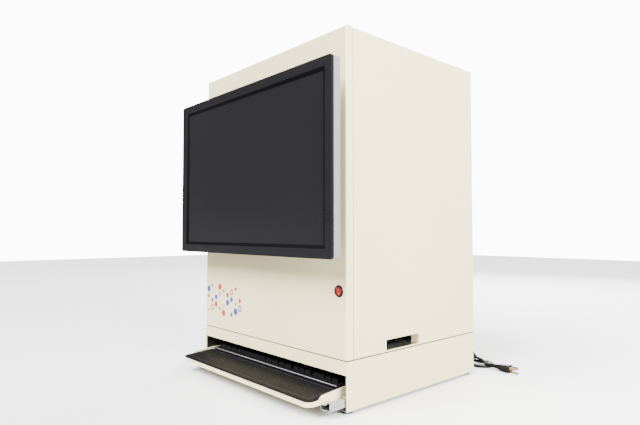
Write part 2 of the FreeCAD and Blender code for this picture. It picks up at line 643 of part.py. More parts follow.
def make_monitor():
    """Flat monitor: bezel, screen, rear case with a sloped back and the plate that holds it."""
    half_w = ("-mon_width / 2", "mon_width / 2")
    tall = ("mon_z0", "mon_z1")
    window = (("-screen_x", "screen_x"), ("mon_z0 + bezel_top", "mon_z1 - bezel_top"))

    bezel = Piece("monitor_bezel")
    bezel.pad(bezel.draw("XZ_Plane", "bezel_y").rect(half_w, tall), "bezel_depth")
    bezel.fillet("mon_corner", along("y", x=both(val("mon_width") / 2)))
    bezel.pocket(bezel.draw("XZ_Plane", "bezel_y").rect(*window), "bezel_depth")
    bezel.chamfer("bezel_bevel", lambda edge: (
        along("z", x=both(val("screen_x")), y=(val("bezel_y"),))(edge)
        or along("x", y=(val("bezel_y"),), z=(val("mon_z0") + val("bezel_top"),
                                              val("mon_z1") - val("bezel_top")))(edge)))
    hole_w = "(key_cap_w / 2 + cap_clear)"
    hole_h = "(key_cap_h / 2 + cap_clear)"
    for rise in ("power_cap_rise", "menu_cap_rise"):
        z = "(foot_height + %s)" % rise
        bezel.pocket(bezel.draw("XZ_Plane", "bezel_y").rect(
            ("caps_x - " + hole_w, "caps_x + " + hole_w), (z + " - " + hole_h, z + " + " + hole_h)),
            "bezel_depth")
    node(bezel, "monitor_bezel")

    case = Piece("monitor_case")
    case.pad(case.draw("XZ_Plane", "case_y").rect(half_w, tall), "rim_depth")
    case.loft(case.draw("XZ_Plane", "rim_y").rect(
        ("-bulge_root_w / 2", "bulge_root_w / 2"),
        ("mon_mid_z - bulge_root_h / 2", "mon_mid_z + bulge_root_h / 2")),
        case.draw("XZ_Plane", "bulge_y").rect(
        ("-bulge_back_w / 2", "bulge_back_w / 2"),
        ("mon_mid_z - bulge_back_h / 2", "mon_mid_z + bulge_back_h / 2")))
    case.fillet("mon_corner", along("y", x=both(val("mon_width") / 2)))
    case.pocket(case.draw("XZ_Plane", "case_y").rect(
        ("-(screen_x + screen_lap)", "screen_x + screen_lap"),
        ("mon_z0 + bezel_top - screen_lap", "mon_z1 - bezel_top + screen_lap")), "screen_depth")
    pocket_w = "(key_cap_w / 2 + cap_flange + 2 * cap_clear)"
    pocket_h = "(key_cap_h / 2 + cap_flange + 2 * cap_clear)"
    for rise in ("power_cap_rise", "menu_cap_rise"):
        z = "(foot_height + %s)" % rise
        case.pocket(case.draw("XZ_Plane", "case_y").rect(
            ("caps_x - " + pocket_w, "caps_x + " + pocket_w), (z + " - " + pocket_h, z + " + " + pocket_h)),
            "cap_flange_depth + cap_travel + 2 * cap_clear")
    node(case, "monitor_case")

    screen = Piece("monitor_screen")
    screen.pad(screen.draw("XZ_Plane", "case_y").rect(
        ("-(screen_x + screen_lap)", "screen_x + screen_lap"),
        ("mon_z0 + bezel_top - screen_lap", "mon_z1 - bezel_top + screen_lap")), "screen_depth")
    node(screen, "monitor_screen")

    plate = Piece("vesa_plate")
    side = ("-vesa_side / 2", "vesa_side / 2")
    plate.pad(plate.draw("XZ_Plane", "bulge_y").rect(
        side, ("mon_mid_z - vesa_side / 2", "mon_mid_z + vesa_side / 2")), "front_y - bulge_y")
    plate.fillet("vesa_corner", along("y", x=both(val("vesa_side") / 2)))
    node(plate, "vesa_plate")

    for label, rise in (("monitor_power_button", "power_cap_rise"), ("monitor_menu_button", "menu_cap_rise")):
        z = "(foot_height + %s)" % rise
        cap = Piece(label)
        cap.pad(cap.draw("XZ_Plane", "bezel_y - cap_proud").rect(
            ("caps_x - key_cap_w / 2", "caps_x + key_cap_w / 2"),
            (z + " - key_cap_h / 2", z + " + key_cap_h / 2")), "bezel_depth + cap_proud + cap_clear")
        cap.pad(cap.draw("XZ_Plane", "case_y + cap_clear").rect(
            ("caps_x - key_cap_w / 2 - cap_flange", "caps_x + key_cap_w / 2 + cap_flange"),
            (z + " - key_cap_h / 2 - cap_flange", z + " + key_cap_h / 2 + cap_flange")), "cap_flange_depth")
        node(cap, label)


def make_switch():
    """Round mains switch: rimmed barrel with a deep bore, and a dished rocker on a cross pin."""
    rim = cone("switch_rim_ring", "y", "rocker_x", "front_y - switch_rim_depth", "switch_z",
               "switch_rim - rim_bevel", "switch_rim", "switch_rim_depth")
    barrel = rod("switch_barrel_body", "y", "rocker_x", "front_y", "switch_z", "switch_barrel", "switch_depth")
    bore = rod("switch_bore", "y", "rocker_x", "front_y - switch_rim_depth", "switch_z", "rocker_bore",
               "rocker_bore_depth")
    pin_bore = rod("switch_pin_bore", "x", "rocker_x - switch_barrel + pin_wall", "pivot_y",
                   "switch_z", "pin_radius + pin_clear", "2 * (switch_barrel - pin_wall)")
    node(cut("switch_housing", fuse("switch_body", [rim, barrel]), [bore, pin_bore]), "switch_housing")

    wings = Piece("rocker_wings")
    wings.pad(wings.draw("YZ_Plane", "-rocker_radius").polygon(
        ("-rocker_thick / 2 - rocker_dish", "-rocker_radius"), ("-rocker_thick / 2", "0"),
        ("-rocker_thick / 2 - rocker_dish", "rocker_radius"), ("rocker_thick / 2 - rocker_dish", "rocker_radius"),
        ("rocker_thick / 2 + rocker_dish", "0"), ("rocker_thick / 2 - rocker_dish", "-rocker_radius")),
        "2 * rocker_radius")
    disc = rod("rocker_disc", "y", "0", "-rocker_thick", "0", "rocker_radius", "3 * rocker_thick")
    pin = rod("rocker_pin", "x", "-(switch_barrel - 2 * pin_wall)", "0", "0", "pin_radius",
              "2 * (switch_barrel - 2 * pin_wall)")
    rocker = fuse("power_rocker", [common("rocker_lens", wings, disc), pin])
    rocker.Placement = FreeCAD.Placement(Vector(), Rotation(Vector(1, 0, 0), 1))
    rocker.setExpression("Placement.Rotation.Angle", ex("rocker_tilt"))
    stand_at(rocker, "rocker_x", "pivot_y", "switch_z")
    node(rocker, "power_rocker")


def channel(name, y0, length, web, web_in, lip_end, half, thick, grooved=False):
    """A rolled channel along Y, its web towards web and its lips towards lip_end."""
    member = Piece(name)
    z0 = "(slide_z - %s)" % half
    z1 = "(slide_z + %s)" % half
    corners = [(web, z0), (lip_end, z0), (lip_end, z0 + " + " + thick), (web_in, z0 + " + " + thick),
               (web_in, z1 + " - " + thick), (lip_end, z1 + " - " + thick), (lip_end, z1), (web, z1)]
    if grooved:
        in_x = web + " - groove_depth"
        corners += [(web, "slide_z + groove_height / 2"), (in_x, "slide_z + groove_height / 2"),
                    (in_x, "slide_z - groove_height / 2"), (web, "slide_z - groove_height / 2")]
    member.pad(member.draw("XZ_Plane", y0).polygon(*corners), length)
    return member


def cage(name, y0, length, x, half):
    """Upper and lower ball cages that ride on a member between its lips and the next."""
    strips = []
    for low, high in (("slide_z + %s" % half, "slide_z + %s + ball_gap - run_clear" % half),
                      ("slide_z - %s - ball_gap + run_clear" % half, "slide_z - %s" % half)):
        strips.append(block(name, x, (y0, "%s + %s" % (y0, length)), (low, high)))
    return strips


def make_slides():
    """Three-part drawer slides: outer on the plinth's wall, inner on the tray, one between them."""
    outer = channel("slide_outer", "slide_y", "slide_length", "wall_x", "wall_x - slide_steel",
                    "wall_x - slide_lip", "outer_half", "slide_steel")
    middle = channel("slide_middle", "mid_y", "slide_length", "mid_web_x", "mid_web_x - slide_steel",
                     "mid_web_x - slide_lip", "mid_half", "slide_steel", grooved=True)
    middle_cages = cage("middle_cage", "mid_y", "slide_length",
                        ("wall_x - slide_lip + 1", "mid_web_x - 1"), "mid_half")
    inner = channel("slide_inner", "inner_y", "inner_length", "tray_x", "tray_x + slide_steel",
                    "tray_x + slide_lip", "inner_half", "slide_steel")
    inner_cages = cage("inner_cage", "inner_y", "inner_length",
                       ("mid_web_x - slide_lip + 1", "tray_x + slide_lip - 1"), "inner_half")
    for label, pieces in (("slide_outer", [outer]), ("slide_middle", [middle] + middle_cages),
                          ("slide_inner", [inner] + inner_cages)):
        right = group(label + "_set", pieces)
        node(right, label + "_right")
        node(mirrored(label + "_copy", right), label + "_left")


def make_tray():
    """Drawer tray: floor, low front lip with round corners, and walls that step up to the rear."""
    tray = Piece("drawer_tray")
    tray.pad(tray.draw("XY_Plane", "tray_z").rect(("-tray_x", "tray_x"), ("tray_y0", "tray_y1")), "wall_height")
    tray.fillet("tray_corner", along("z", x=both(val("tray_x")), y=(val("tray_y0"),)))
    tray.hollow("tray_gauge", lambda face: face.BoundBox.ZMin > val("tray_z") + val("wall_height") - NEAR)
    tray.pocket(tray.draw("YZ_Plane", "-tray_x").polygon(
        ("tray_y0 - 1", "tray_z + lip_height"), ("tray_y0 + wall_slope_start", "tray_z + lip_height"),
        ("tray_y0 + wall_step", "tray_z + wall_step_height"), ("tray_y0 + wall_level", "tray_z + wall_height"),
        ("tray_y0 + wall_level", "tray_z + wall_height + 1"), ("tray_y0 - 1", "tray_z + wall_height + 1")),
        "2 * tray_x")
    node(tray, "drawer_tray")


def make_palm_rest():
    """Padded rest that fills the tray's front, sloping up to the keyboard."""
    pad_x = "(tray_in_x - palm_clear)"
    pad_y0 = "(tray_y0 + tray_gauge + palm_clear)"
    pad_y1 = "(tray_y0 + tray_gauge + palm_clear + palm_depth)"
    rest = Piece("palm_rest")
    rest.pad(rest.draw("YZ_Plane", "-" + pad_x).polygon(
        (pad_y0, "tray_floor"), (pad_y1, "tray_floor"), (pad_y1, "tray_floor + palm_rear"),
        (pad_y0 + " + palm_roll * 2", "tray_floor + palm_front + 1"), (pad_y0, "tray_floor + palm_front - palm_roll")),
        "2 * " + pad_x)
    rest.fillet("tray_corner - tray_gauge - palm_clear", along(
        "z", x=both(val("tray_in_x") - val("palm_clear")),
        y=(val("tray_y0") + val("tray_gauge") + val("palm_clear"),)))
    node(rest, "palm_rest")


# Keys, in pitches from the left edge of the field: start and width of each key of a row
def run(start, widths):
    keys = []
    for width in widths:
        keys.append((start, width))
        start += width
    return keys


NAV = 15.25
PAD = 18.5
KEY_ROWS = [
    ("key_row_space", run(0, [1.25] * 3 + [6.25] + [1.25] * 4) + run(NAV, [1] * 3) + run(PAD, [2, 1, 1])),
    ("key_row_shift", run(0, [2.25] + [1] * 10 + [2.75]) + run(NAV + 1, [1]) + run(PAD, [1] * 4)),
    ("key_row_home", run(0, [1.75] + [1] * 11 + [2.25]) + run(PAD, [1] * 4)),
    ("key_row_tab", run(0, [1.5] + [1] * 12 + [1.5]) + run(NAV, [1] * 3) + run(PAD, [1] * 4)),
    ("key_row_number", run(0, [1] * 13 + [2]) + run(NAV, [1] * 3) + run(PAD, [1] * 4)),
    ("key_row_function", run(0, [1]) + run(2, [1] * 4) + run(6.5, [1] * 4) + run(11, [1] * 4)
     + run(NAV, [1] * 3)),
]


def row_low(index):
    """Front edge of a key row on the keyboard's sloping top; the last row stands a gap apart."""
    gap = " + row_gap" if index == 5 else ""
    return "(key_margin + %d * key_pitch%s)" % (index, gap)


def on_keyboard(piece):
    """Set a piece, drawn flat with its top plane at zero, on the tilted keyboard."""
    body = solid_of(piece)
    body.Placement = FreeCAD.Placement(Vector(), Rotation(Vector(1, 0, 0), 1))
    body.setExpression("Placement.Rotation.Angle", ex("keyb_tilt"))
    return stand_at(body, "0", "keyb_y", "tray_floor + keyb_front")


def field(first, last, x0, x1):
    """The well for a block of rows and pitches."""
    return (("keys_left + %g * key_pitch" % x0, "keys_left + %g * key_pitch" % x1),
            (row_low(first), row_low(last) + " + key_pitch"))


def key_cap(x, width, y):
    """One cap with sloping sides, its foot below the keyboard's top plane."""
    cap = doc.addObject("Part::Wedge", "key_cap")
    cap.Placement = FreeCAD.Placement(Vector(), Rotation(Vector(1, 0, 0), 90))
    lean = "key_height * tan(key_taper * 1deg)"
    span = "%s - key_gap" % width
    depth = "key_pitch - key_gap"
    for side, expression in (
            ("Xmin", "0"), ("Xmax", span), ("X2min", lean), ("X2max", "%s - %s" % (span, lean)),
            ("Ymin", "0"), ("Ymax", "key_height"),
            ("Zmin", "0"), ("Zmax", depth), ("Z2min", lean), ("Z2max", "%s - %s" % (depth, lean))):
        cap.setExpression(side, ex(expression))
    return stand_at(cap, "%s + key_gap / 2" % x, "%s + key_pitch - key_gap / 2" % y, "-key_sink")


def make_keyboard():
    """Keyboard case with a flat foot under a sloping top, wells for its keys, and six key rows."""
    case = Piece("keyboard_case")
    case.pad(case.draw("YZ_Plane", "-keyb_width / 2").polygon(
        ("0", "0"), ("0", "-keyb_front / cos(keyb_tilt * 1deg)"),
        ("keyb_depth", "-(keyb_front + keyb_depth * sin(keyb_tilt * 1deg)) / cos(keyb_tilt * 1deg)"),
        ("keyb_depth", "0")), "keyb_width")
    case.fillet("keyb_corner", along("z", x=both(val("keyb_width") / 2)))
    well = "key_sink + key_travel + well_spare"
    wells = [(0, 4, 0, 15), (3, 4, NAV, NAV + 3), (0, 4, PAD, PAD + 4), (5, 5, 0, 1), (5, 5, 2, 6),
             (5, 5, 6.5, 10.5), (5, 5, 11, 15), (5, 5, NAV, NAV + 3)]
    drawing = case.draw("XY_Plane", "0")
    for first, last, x0, x1 in wells:
        drawing.rect(*field(first, last, x0, x1))
    (ax0, ax1), (ay0, ay1) = field(0, 0, NAV, NAV + 3)
    (ux0, ux1), (uy0, uy1) = field(1, 1, NAV + 1, NAV + 2)
    drawing.polygon((ax0, ay0), (ax1, ay0), (ax1, ay1), (ux1, ay1), (ux1, uy1), (ux0, uy1), (ux0, ay1), (ax0, ay1))
    case.pocket(drawing, well, forward=False)
    on_keyboard(case)
    node(case, "keyboard_case")

    for index, (label, keys) in enumerate(KEY_ROWS):
        low = row_low(index)
        caps = [key_cap("keys_left + %g * key_pitch" % start, "%g * key_pitch" % width, low)
                for start, width in keys]
        node(on_keyboard(group(label + "_caps", caps)), label)


def make_computer():
    """Desktop computer on the shelf, its port plate at the rear panel, and the low-voltage supply."""
    y1 = "panel_y"
    y0 = "(panel_y - pc_depth)"
    case = Piece("computer_case")
    case.pad(case.draw("XY_Plane", "shelf_z").rect(("-pc_width / 2", "pc_width / 2"), (y0, y1)), "pc_height")
    case.fillet("pc_bend", along("y", x=both(val("pc_width") / 2)))
    case.pocket(case.draw("XY_Plane", "shelf_z").rect(
        ("-(pc_width / 2 - pc_gauge)", "pc_width / 2 - pc_gauge"), (y0 + " + pc_gauge", y1 + " - pc_gauge")),
        "pc_height - pc_gauge")
    port_x = ("port_middle - port_width / 2", "port_middle + port_width / 2")
    port_z = ("shelf_z + port_rise", "shelf_z + port_rise + port_height")
    case.pocket(case.draw("XZ_Plane", y1).rect(port_x, port_z), "pc_gauge", forward=False)
    case.pad(case.draw("XZ_Plane", y1 + " - pc_gauge").rect(
        (port_x[0] + " - port_lap", port_x[1] + " + port_lap"), (port_z[0] + " - port_lap", port_z[1] + " + port_lap")),
        "pc_gauge", forward=False)
    node(case, "computer_case")

    supply = Piece("power_supply")
    x = ("psu_middle - psu_width / 2", "psu_middle + psu_width / 2")
    y = ("panel_y - psu_depth - post_leg", "panel_y - post_leg")
    supply.pad(supply.draw("XY_Plane", "deck_top").rect(x, y), "psu_height")
    supply.pocket(supply.draw("XY_Plane", "deck_top + psu_height").rect(
        (x[1] + " - terminal_step", x[1]), (y[0] + " + terminal_wall", y[1] + " - terminal_wall")),
        "terminal_drop", forward=False)
    supply.pocket(supply.draw("XY_Plane", "deck_top").rect(
        (x[0] + " + gauge", x[1] + " - terminal_step - gauge"), (y[0] + " + gauge", y[1] + " - gauge")),
        "psu_height - gauge")
    node(supply, "power_supply")


def make_fan():
    """Rear exhaust fan: square frame with four struts, seven-blade rotor and a wire guard."""
    y0 = "(panel_y - fan_depth)"
    half = "fan_size / 2"
    frame = Piece("fan_frame")
    frame.pad(frame.draw("XZ_Plane", y0).rect(
        ("fan_middle - " + half, "fan_middle + " + half), ("fan_z - " + half, "fan_z + " + half)), "fan_depth")
    frame.fillet("fan_corner", along("y", x=(val("fan_middle") - val("fan_size") / 2,
                                             val("fan_middle") + val("fan_size") / 2)))
    frame.pocket(frame.draw("XZ_Plane", y0).circle("fan_middle", "fan_z", "fan_bore"), "fan_depth")
    reach = ("fan_hub - 1", "fan_bore + 1")
    width = ("-fan_strut / 2", "fan_strut / 2")
    struts = frame.draw("XZ_Plane", y0)
    for sign in ("+", "-"):
        struts.rect(tuple("fan_middle %s (%s)" % (sign, r) for r in reach), tuple("fan_z + (%s)" % w for w in width))
        struts.rect(tuple("fan_middle + (%s)" % w for w in width), tuple("fan_z %s (%s)" % (sign, r) for r in reach))
    frame.pad(struts, "fan_strut")
    frame.pad(frame.draw("XZ_Plane", y0).circle("fan_middle", "fan_z", "fan_hub"), "fan_strut")
    frame.pad(frame.draw("XZ_Plane", y0).circle("fan_middle", "fan_z", "spindle"), "fan_depth - fan_strut")
    node(frame, "fan_frame")

    rotor = Piece("fan_rotor")
    rotor.pad(rotor.draw("XZ_Plane").circle("0", "0", "fan_hub"), "rotor_depth")
    rotor.pad(rotor.draw("YZ_Plane", "fan_hub - blade_root").polygon(
        ("blade_inset", "-blade_rise"), ("rotor_depth - blade_inset", "blade_rise"),
        ("rotor_depth - blade_inset", "blade_rise + blade_thick"), ("blade_inset", "blade_thick - blade_rise")),
        "fan_bore - fan_tip_clear - fan_hub + blade_root")
    rotor.ring("Y_Axis", "blade_count")
    rotor.pocket(rotor.draw("XZ_Plane").circle("0", "0", "spindle + pin_clear"), "rotor_depth")
    stand_at(rotor.body, "fan_middle", y0 + " + fan_strut + fan_play", "fan_z")
    node(rotor, "fan_rotor")

    wires = []
    for index in range(int(val("guard_rings"))):
        hoop = Piece("guard_hoop")
        middle = "guard_inner + %d * guard_ring" % index
        outline = hoop.draw("XZ_Plane", "rear_y + guard_reach - 2 * guard_wire")
        outline.circle("fan_middle", "fan_z", middle + " + guard_wire")
        outline.circle("fan_middle", "fan_z", middle + " - guard_wire")
        wires.append(hoop.pad(outline, "2 * guard_wire"))
    for half_x, half_z in (("fan_size / 2", "guard_wire"), ("guard_wire", "fan_size / 2")):
        wires.append(block("guard_bar", ("fan_middle - " + half_x, "fan_middle + " + half_x),
                           ("rear_y", "rear_y + 2 * guard_wire"), ("fan_z - " + half_z, "fan_z + " + half_z)))
    node(fuse("guard", wires), "fan_guard")


def make_inlet():
    """Mains inlet in its cut-out: flange with ears outside, body inside, socket open to the rear."""
    inlet = Piece("power_inlet")
    inlet.pad(inlet.draw("XZ_Plane", "rear_y").rect(
        ("inlet_x - inlet_ears / 2", "inlet_x + inlet_ears / 2"),
        ("inlet_z - inlet_flange_h / 2", "inlet_z + inlet_flange_h / 2")), "inlet_flange")
    inlet.pad(inlet.draw("XZ_Plane", "rear_y").rect(
        ("inlet_x - inlet_width / 2", "inlet_x + inlet_width / 2"),
        ("inlet_z - inlet_height / 2", "inlet_z + inlet_height / 2")), "inlet_depth", forward=False)
    inlet.fillet("inlet_corner", along("y", x=(val("inlet_x") - val("inlet_ears") / 2,
                                                   val("inlet_x") + val("inlet_ears") / 2)))
    inlet.pocket(inlet.draw("XZ_Plane", "rear_y + inlet_flange").rect(
        ("inlet_x - socket_width / 2", "inlet_x + socket_width / 2"),
        ("inlet_z - socket_height / 2", "inlet_z + socket_height / 2")), "socket_depth", forward=False)
    node(inlet, "power_inlet")


def eased_bar(name, plane, x, y, z, corner):
    """A bar along X or Y with eased long edges, as moulded plugs have."""
    bar = Piece(name)
    if plane == "XZ_Plane":
        bar.pad(bar.draw(plane, y[0]).rect(x, z), "(%s) - (%s)" % (y[1], y[0]))
        bar.chamfer(corner, along("y"))
    else:
        bar.pad(bar.draw(plane, x[0]).rect(y, z), "(%s) - (%s)" % (x[1], x[0]))
        bar.chamfer(corner, along("x"))
    return bar


def cord_route():
    """Points of the mains cord from its connector down to the table and along behind the hank."""
    exit_y = val("rear_y") + val("inlet_flange") + val("connector_length") + val("relief_length")
    x0 = val("inlet_x")
    z0 = val("inlet_z")
    end_x = val("hank_entry")
    lie_y = val("hank_y1") + val("cord_radius")
    lie_z = val("cord_radius")
    return [
        Vector(x0, exit_y, z0),
        Vector(x0, exit_y + 21, z0),
        Vector(x0 + 0.5, exit_y + 43, z0 - 10),
        Vector(x0 + 1.5, exit_y + 56, z0 - 32),
        Vector(x0 + 3, exit_y + 57.5, z0 - 59),
        Vector(x0 + 5.5, lie_y + 1, lie_z + 47.75),
        Vector(end_x - 52.5, lie_y + 0.5, lie_z + 24.75),
        Vector(end_x - 39, lie_y + 0.2, lie_z + 7.25),
        Vector(end_x - 19, lie_y, lie_z),
        Vector(end_x, lie_y, lie_z),
    ]


ARC_SHARE = 0.45


def tube_along(points, radius):
    """A round tube on straight runs joined by tangent arcs, each as large as its runs allow."""
    edges = []
    radii = []
    start = points[0]
    for before, corner, after in zip(points, points[1:], points[2:]):
        run_in = corner - before
        run_out = after - corner
        cut_back = ARC_SHARE * min(run_in.Length, run_out.Length)
        turn = run_in.getAngle(run_out)
        bend = cut_back / math.tan(turn / 2)
        radii.append(bend)
        towards = Vector(run_in).normalize()
        away = Vector(run_out).normalize()
        arc_start = corner - towards * cut_back
        arc_end = corner + away * cut_back
        inward = (away - towards).normalize()
        centre_far = bend / math.cos(turn / 2)
        middle = corner + inward * (centre_far - bend)
        edges.append(Part.LineSegment(start, arc_start).toShape())
        edges.append(Part.Arc(arc_start, middle, arc_end).toShape())
        start = arc_end
    edges.append(Part.LineSegment(start, points[-1]).toShape())
    path = Part.Wire(edges)
    ring = Part.Wire(Part.Circle(points[0], points[1] - points[0], radius).toShape())
    return path.makePipeShell([ring], True, False), path.Length, radii


def make_cord():
    """Detachable mains cord: moulded connector, fall, tied hank on the table, plug and blades."""
    face_y = "(rear_y + inlet_flange)"
    nose = eased_bar("connector_nose", "XZ_Plane",
                       ("inlet_x - socket_width / 2 + plug_fit", "inlet_x + socket_width / 2 - plug_fit"),
                       ("rear_y + inlet_flange - socket_depth + plug_fit", face_y),
                       ("inlet_z - socket_height / 2 + plug_fit", "inlet_z + socket_height / 2 - plug_fit"),
                       "nose_edge")
    body = eased_bar("connector_body", "XZ_Plane",
                       ("inlet_x - connector_width / 2", "inlet_x + connector_width / 2"),
                       (face_y, face_y + " + connector_length"),
                       ("inlet_z - connector_height / 2", "inlet_z + connector_height / 2"), "connector_edge")
    relief = cone("connector_relief", "y", "inlet_x", face_y + " + connector_length", "inlet_z",
                  "relief_root", "relief_tip", "relief_length")
    node(fuse("connector", [nose, body, relief]), "cord_connector")

    solid, length, radii = tube_along(cord_route(), val("cord_radius"))
    tube = doc.addObject("Part::Feature", "cord_tube")
    tube.Shape = solid
    tube.Placement = FreeCAD.Placement()
    ideal = math.pi * val("cord_radius") ** 2 * length
    print("cord run %.1f mm, volume against section times length %.4f" % (length, solid.Volume / ideal))
    print("cord bend radii", ", ".join("%.1f" % r for r in radii))
    node(tube, "cord_tube")

    core = block("hank_straights", ("hank_x0", "hank_x1"), ("hank_y0", "hank_y1"), ("0", "hank_height"))
    folds = [rod("hank_fold_end", "z", x, "hank_y0 + hank_half", "0", "hank_half", "hank_height")
             for x in ("hank_x0", "hank_x1")]
    entry = block("hank_entry_strand", ("hank_entry", "hank_entry + hank_lap"),
                  ("hank_y1 - 2 * cord_radius", "hank_y1 + 2 * cord_radius"), ("0", "2 * cord_radius"))
    plug_y = "(hank_y0 + plug_from_hank)"
    plug_z = "(plug_height / 2)"
    tail = rod("hank_tail_strand", "x", "hank_x1", plug_y, plug_z, "cord_radius",
               "hank_right + hank_tail - hank_x1")
    node(fuse("hank", [core] + folds + [entry, tail]), "cord_hank")

    tie_y = ("hank_y0 + hank_half - tie_width / 2", "hank_y0 + hank_half + tie_width / 2")
    band = Piece("tie_band")
    band.pad(band.draw("XZ_Plane", tie_y[0]).polygon(
        ("hank_right", "0"), ("hank_right + tie_thick", "0"), ("hank_right + tie_thick", "hank_height + tie_thick"),
        ("hank_right - tie_reach", "hank_height + tie_thick"), ("hank_right - tie_reach", "hank_height"),
        ("hank_right", "hank_height")), "tie_width")
    node(band, "cord_tie")

    relief_x = "(hank_right + hank_tail)"
    plug_x = "(hank_right + hank_tail + plug_relief)"
    shank = cone("plug_relief_cone", "x", relief_x, plug_y, plug_z, "relief_tip", "relief_root", "plug_relief")
    moulded = eased_bar("plug_body", "YZ_Plane", (plug_x, plug_x + " + plug_length"),
                        (plug_y + " - plug_width / 2", plug_y + " + plug_width / 2"), ("0", "plug_height"),
                        "plug_edge")
    node(fuse("plug", [shank, moulded]), "mains_plug")
    tip_x = "(%s + plug_length)" % plug_x
    blade_z = "(%s + blade_lift)" % plug_z
    contacts = []
    for side in ("-", "+"):
        y = "(%s %s blade_apart / 2)" % (plug_y, side)
        contacts.append(block("plug_blade", (tip_x, tip_x + " + blade_length"),
                              (y + " - blade_gauge / 2", y + " + blade_gauge / 2"),
                              (blade_z + " - blade_wide / 2", blade_z + " + blade_wide / 2")))
    contacts.append(rod("earth_pin", "x", tip_x, plug_y, blade_z + " - earth_drop", "earth_radius",
                        "earth_length"))
    node(group("blades", contacts), "plug_blades")


def saddle(name, x, y, z0, axis):
    """A runner block that straddles a rail, centred at x, y with its top at z0 + block_height."""
    length = ("%s - block_length / 2", "%s + block_length / 2")
    width = ("%s - block_width / 2", "%s + block_width / 2")
    span_x, span_y = (length, width) if axis == "x" else (width, length)
    body = block(name, tuple(s % x for s in span_x), tuple(s % y for s in span_y),
                 (z0 + " + block_clear + 1", z0 + " + block_height"))
    groove_w = ("%s - rail_width / 2 - block_clear", "%s + rail_width / 2 + block_clear")
    groove_l = ("%s - block_length", "%s + block_length")
    hole_x, hole_y = (groove_l, groove_w) if axis == "x" else (groove_w, groove_l)
    hole = block(name + "_groove", tuple(s % x for s in hole_x), tuple(s % y for s in hole_y),
                 (z0, z0 + " + rail_rise + block_clear"))
    return cut(name + "_runner", body, [hole])


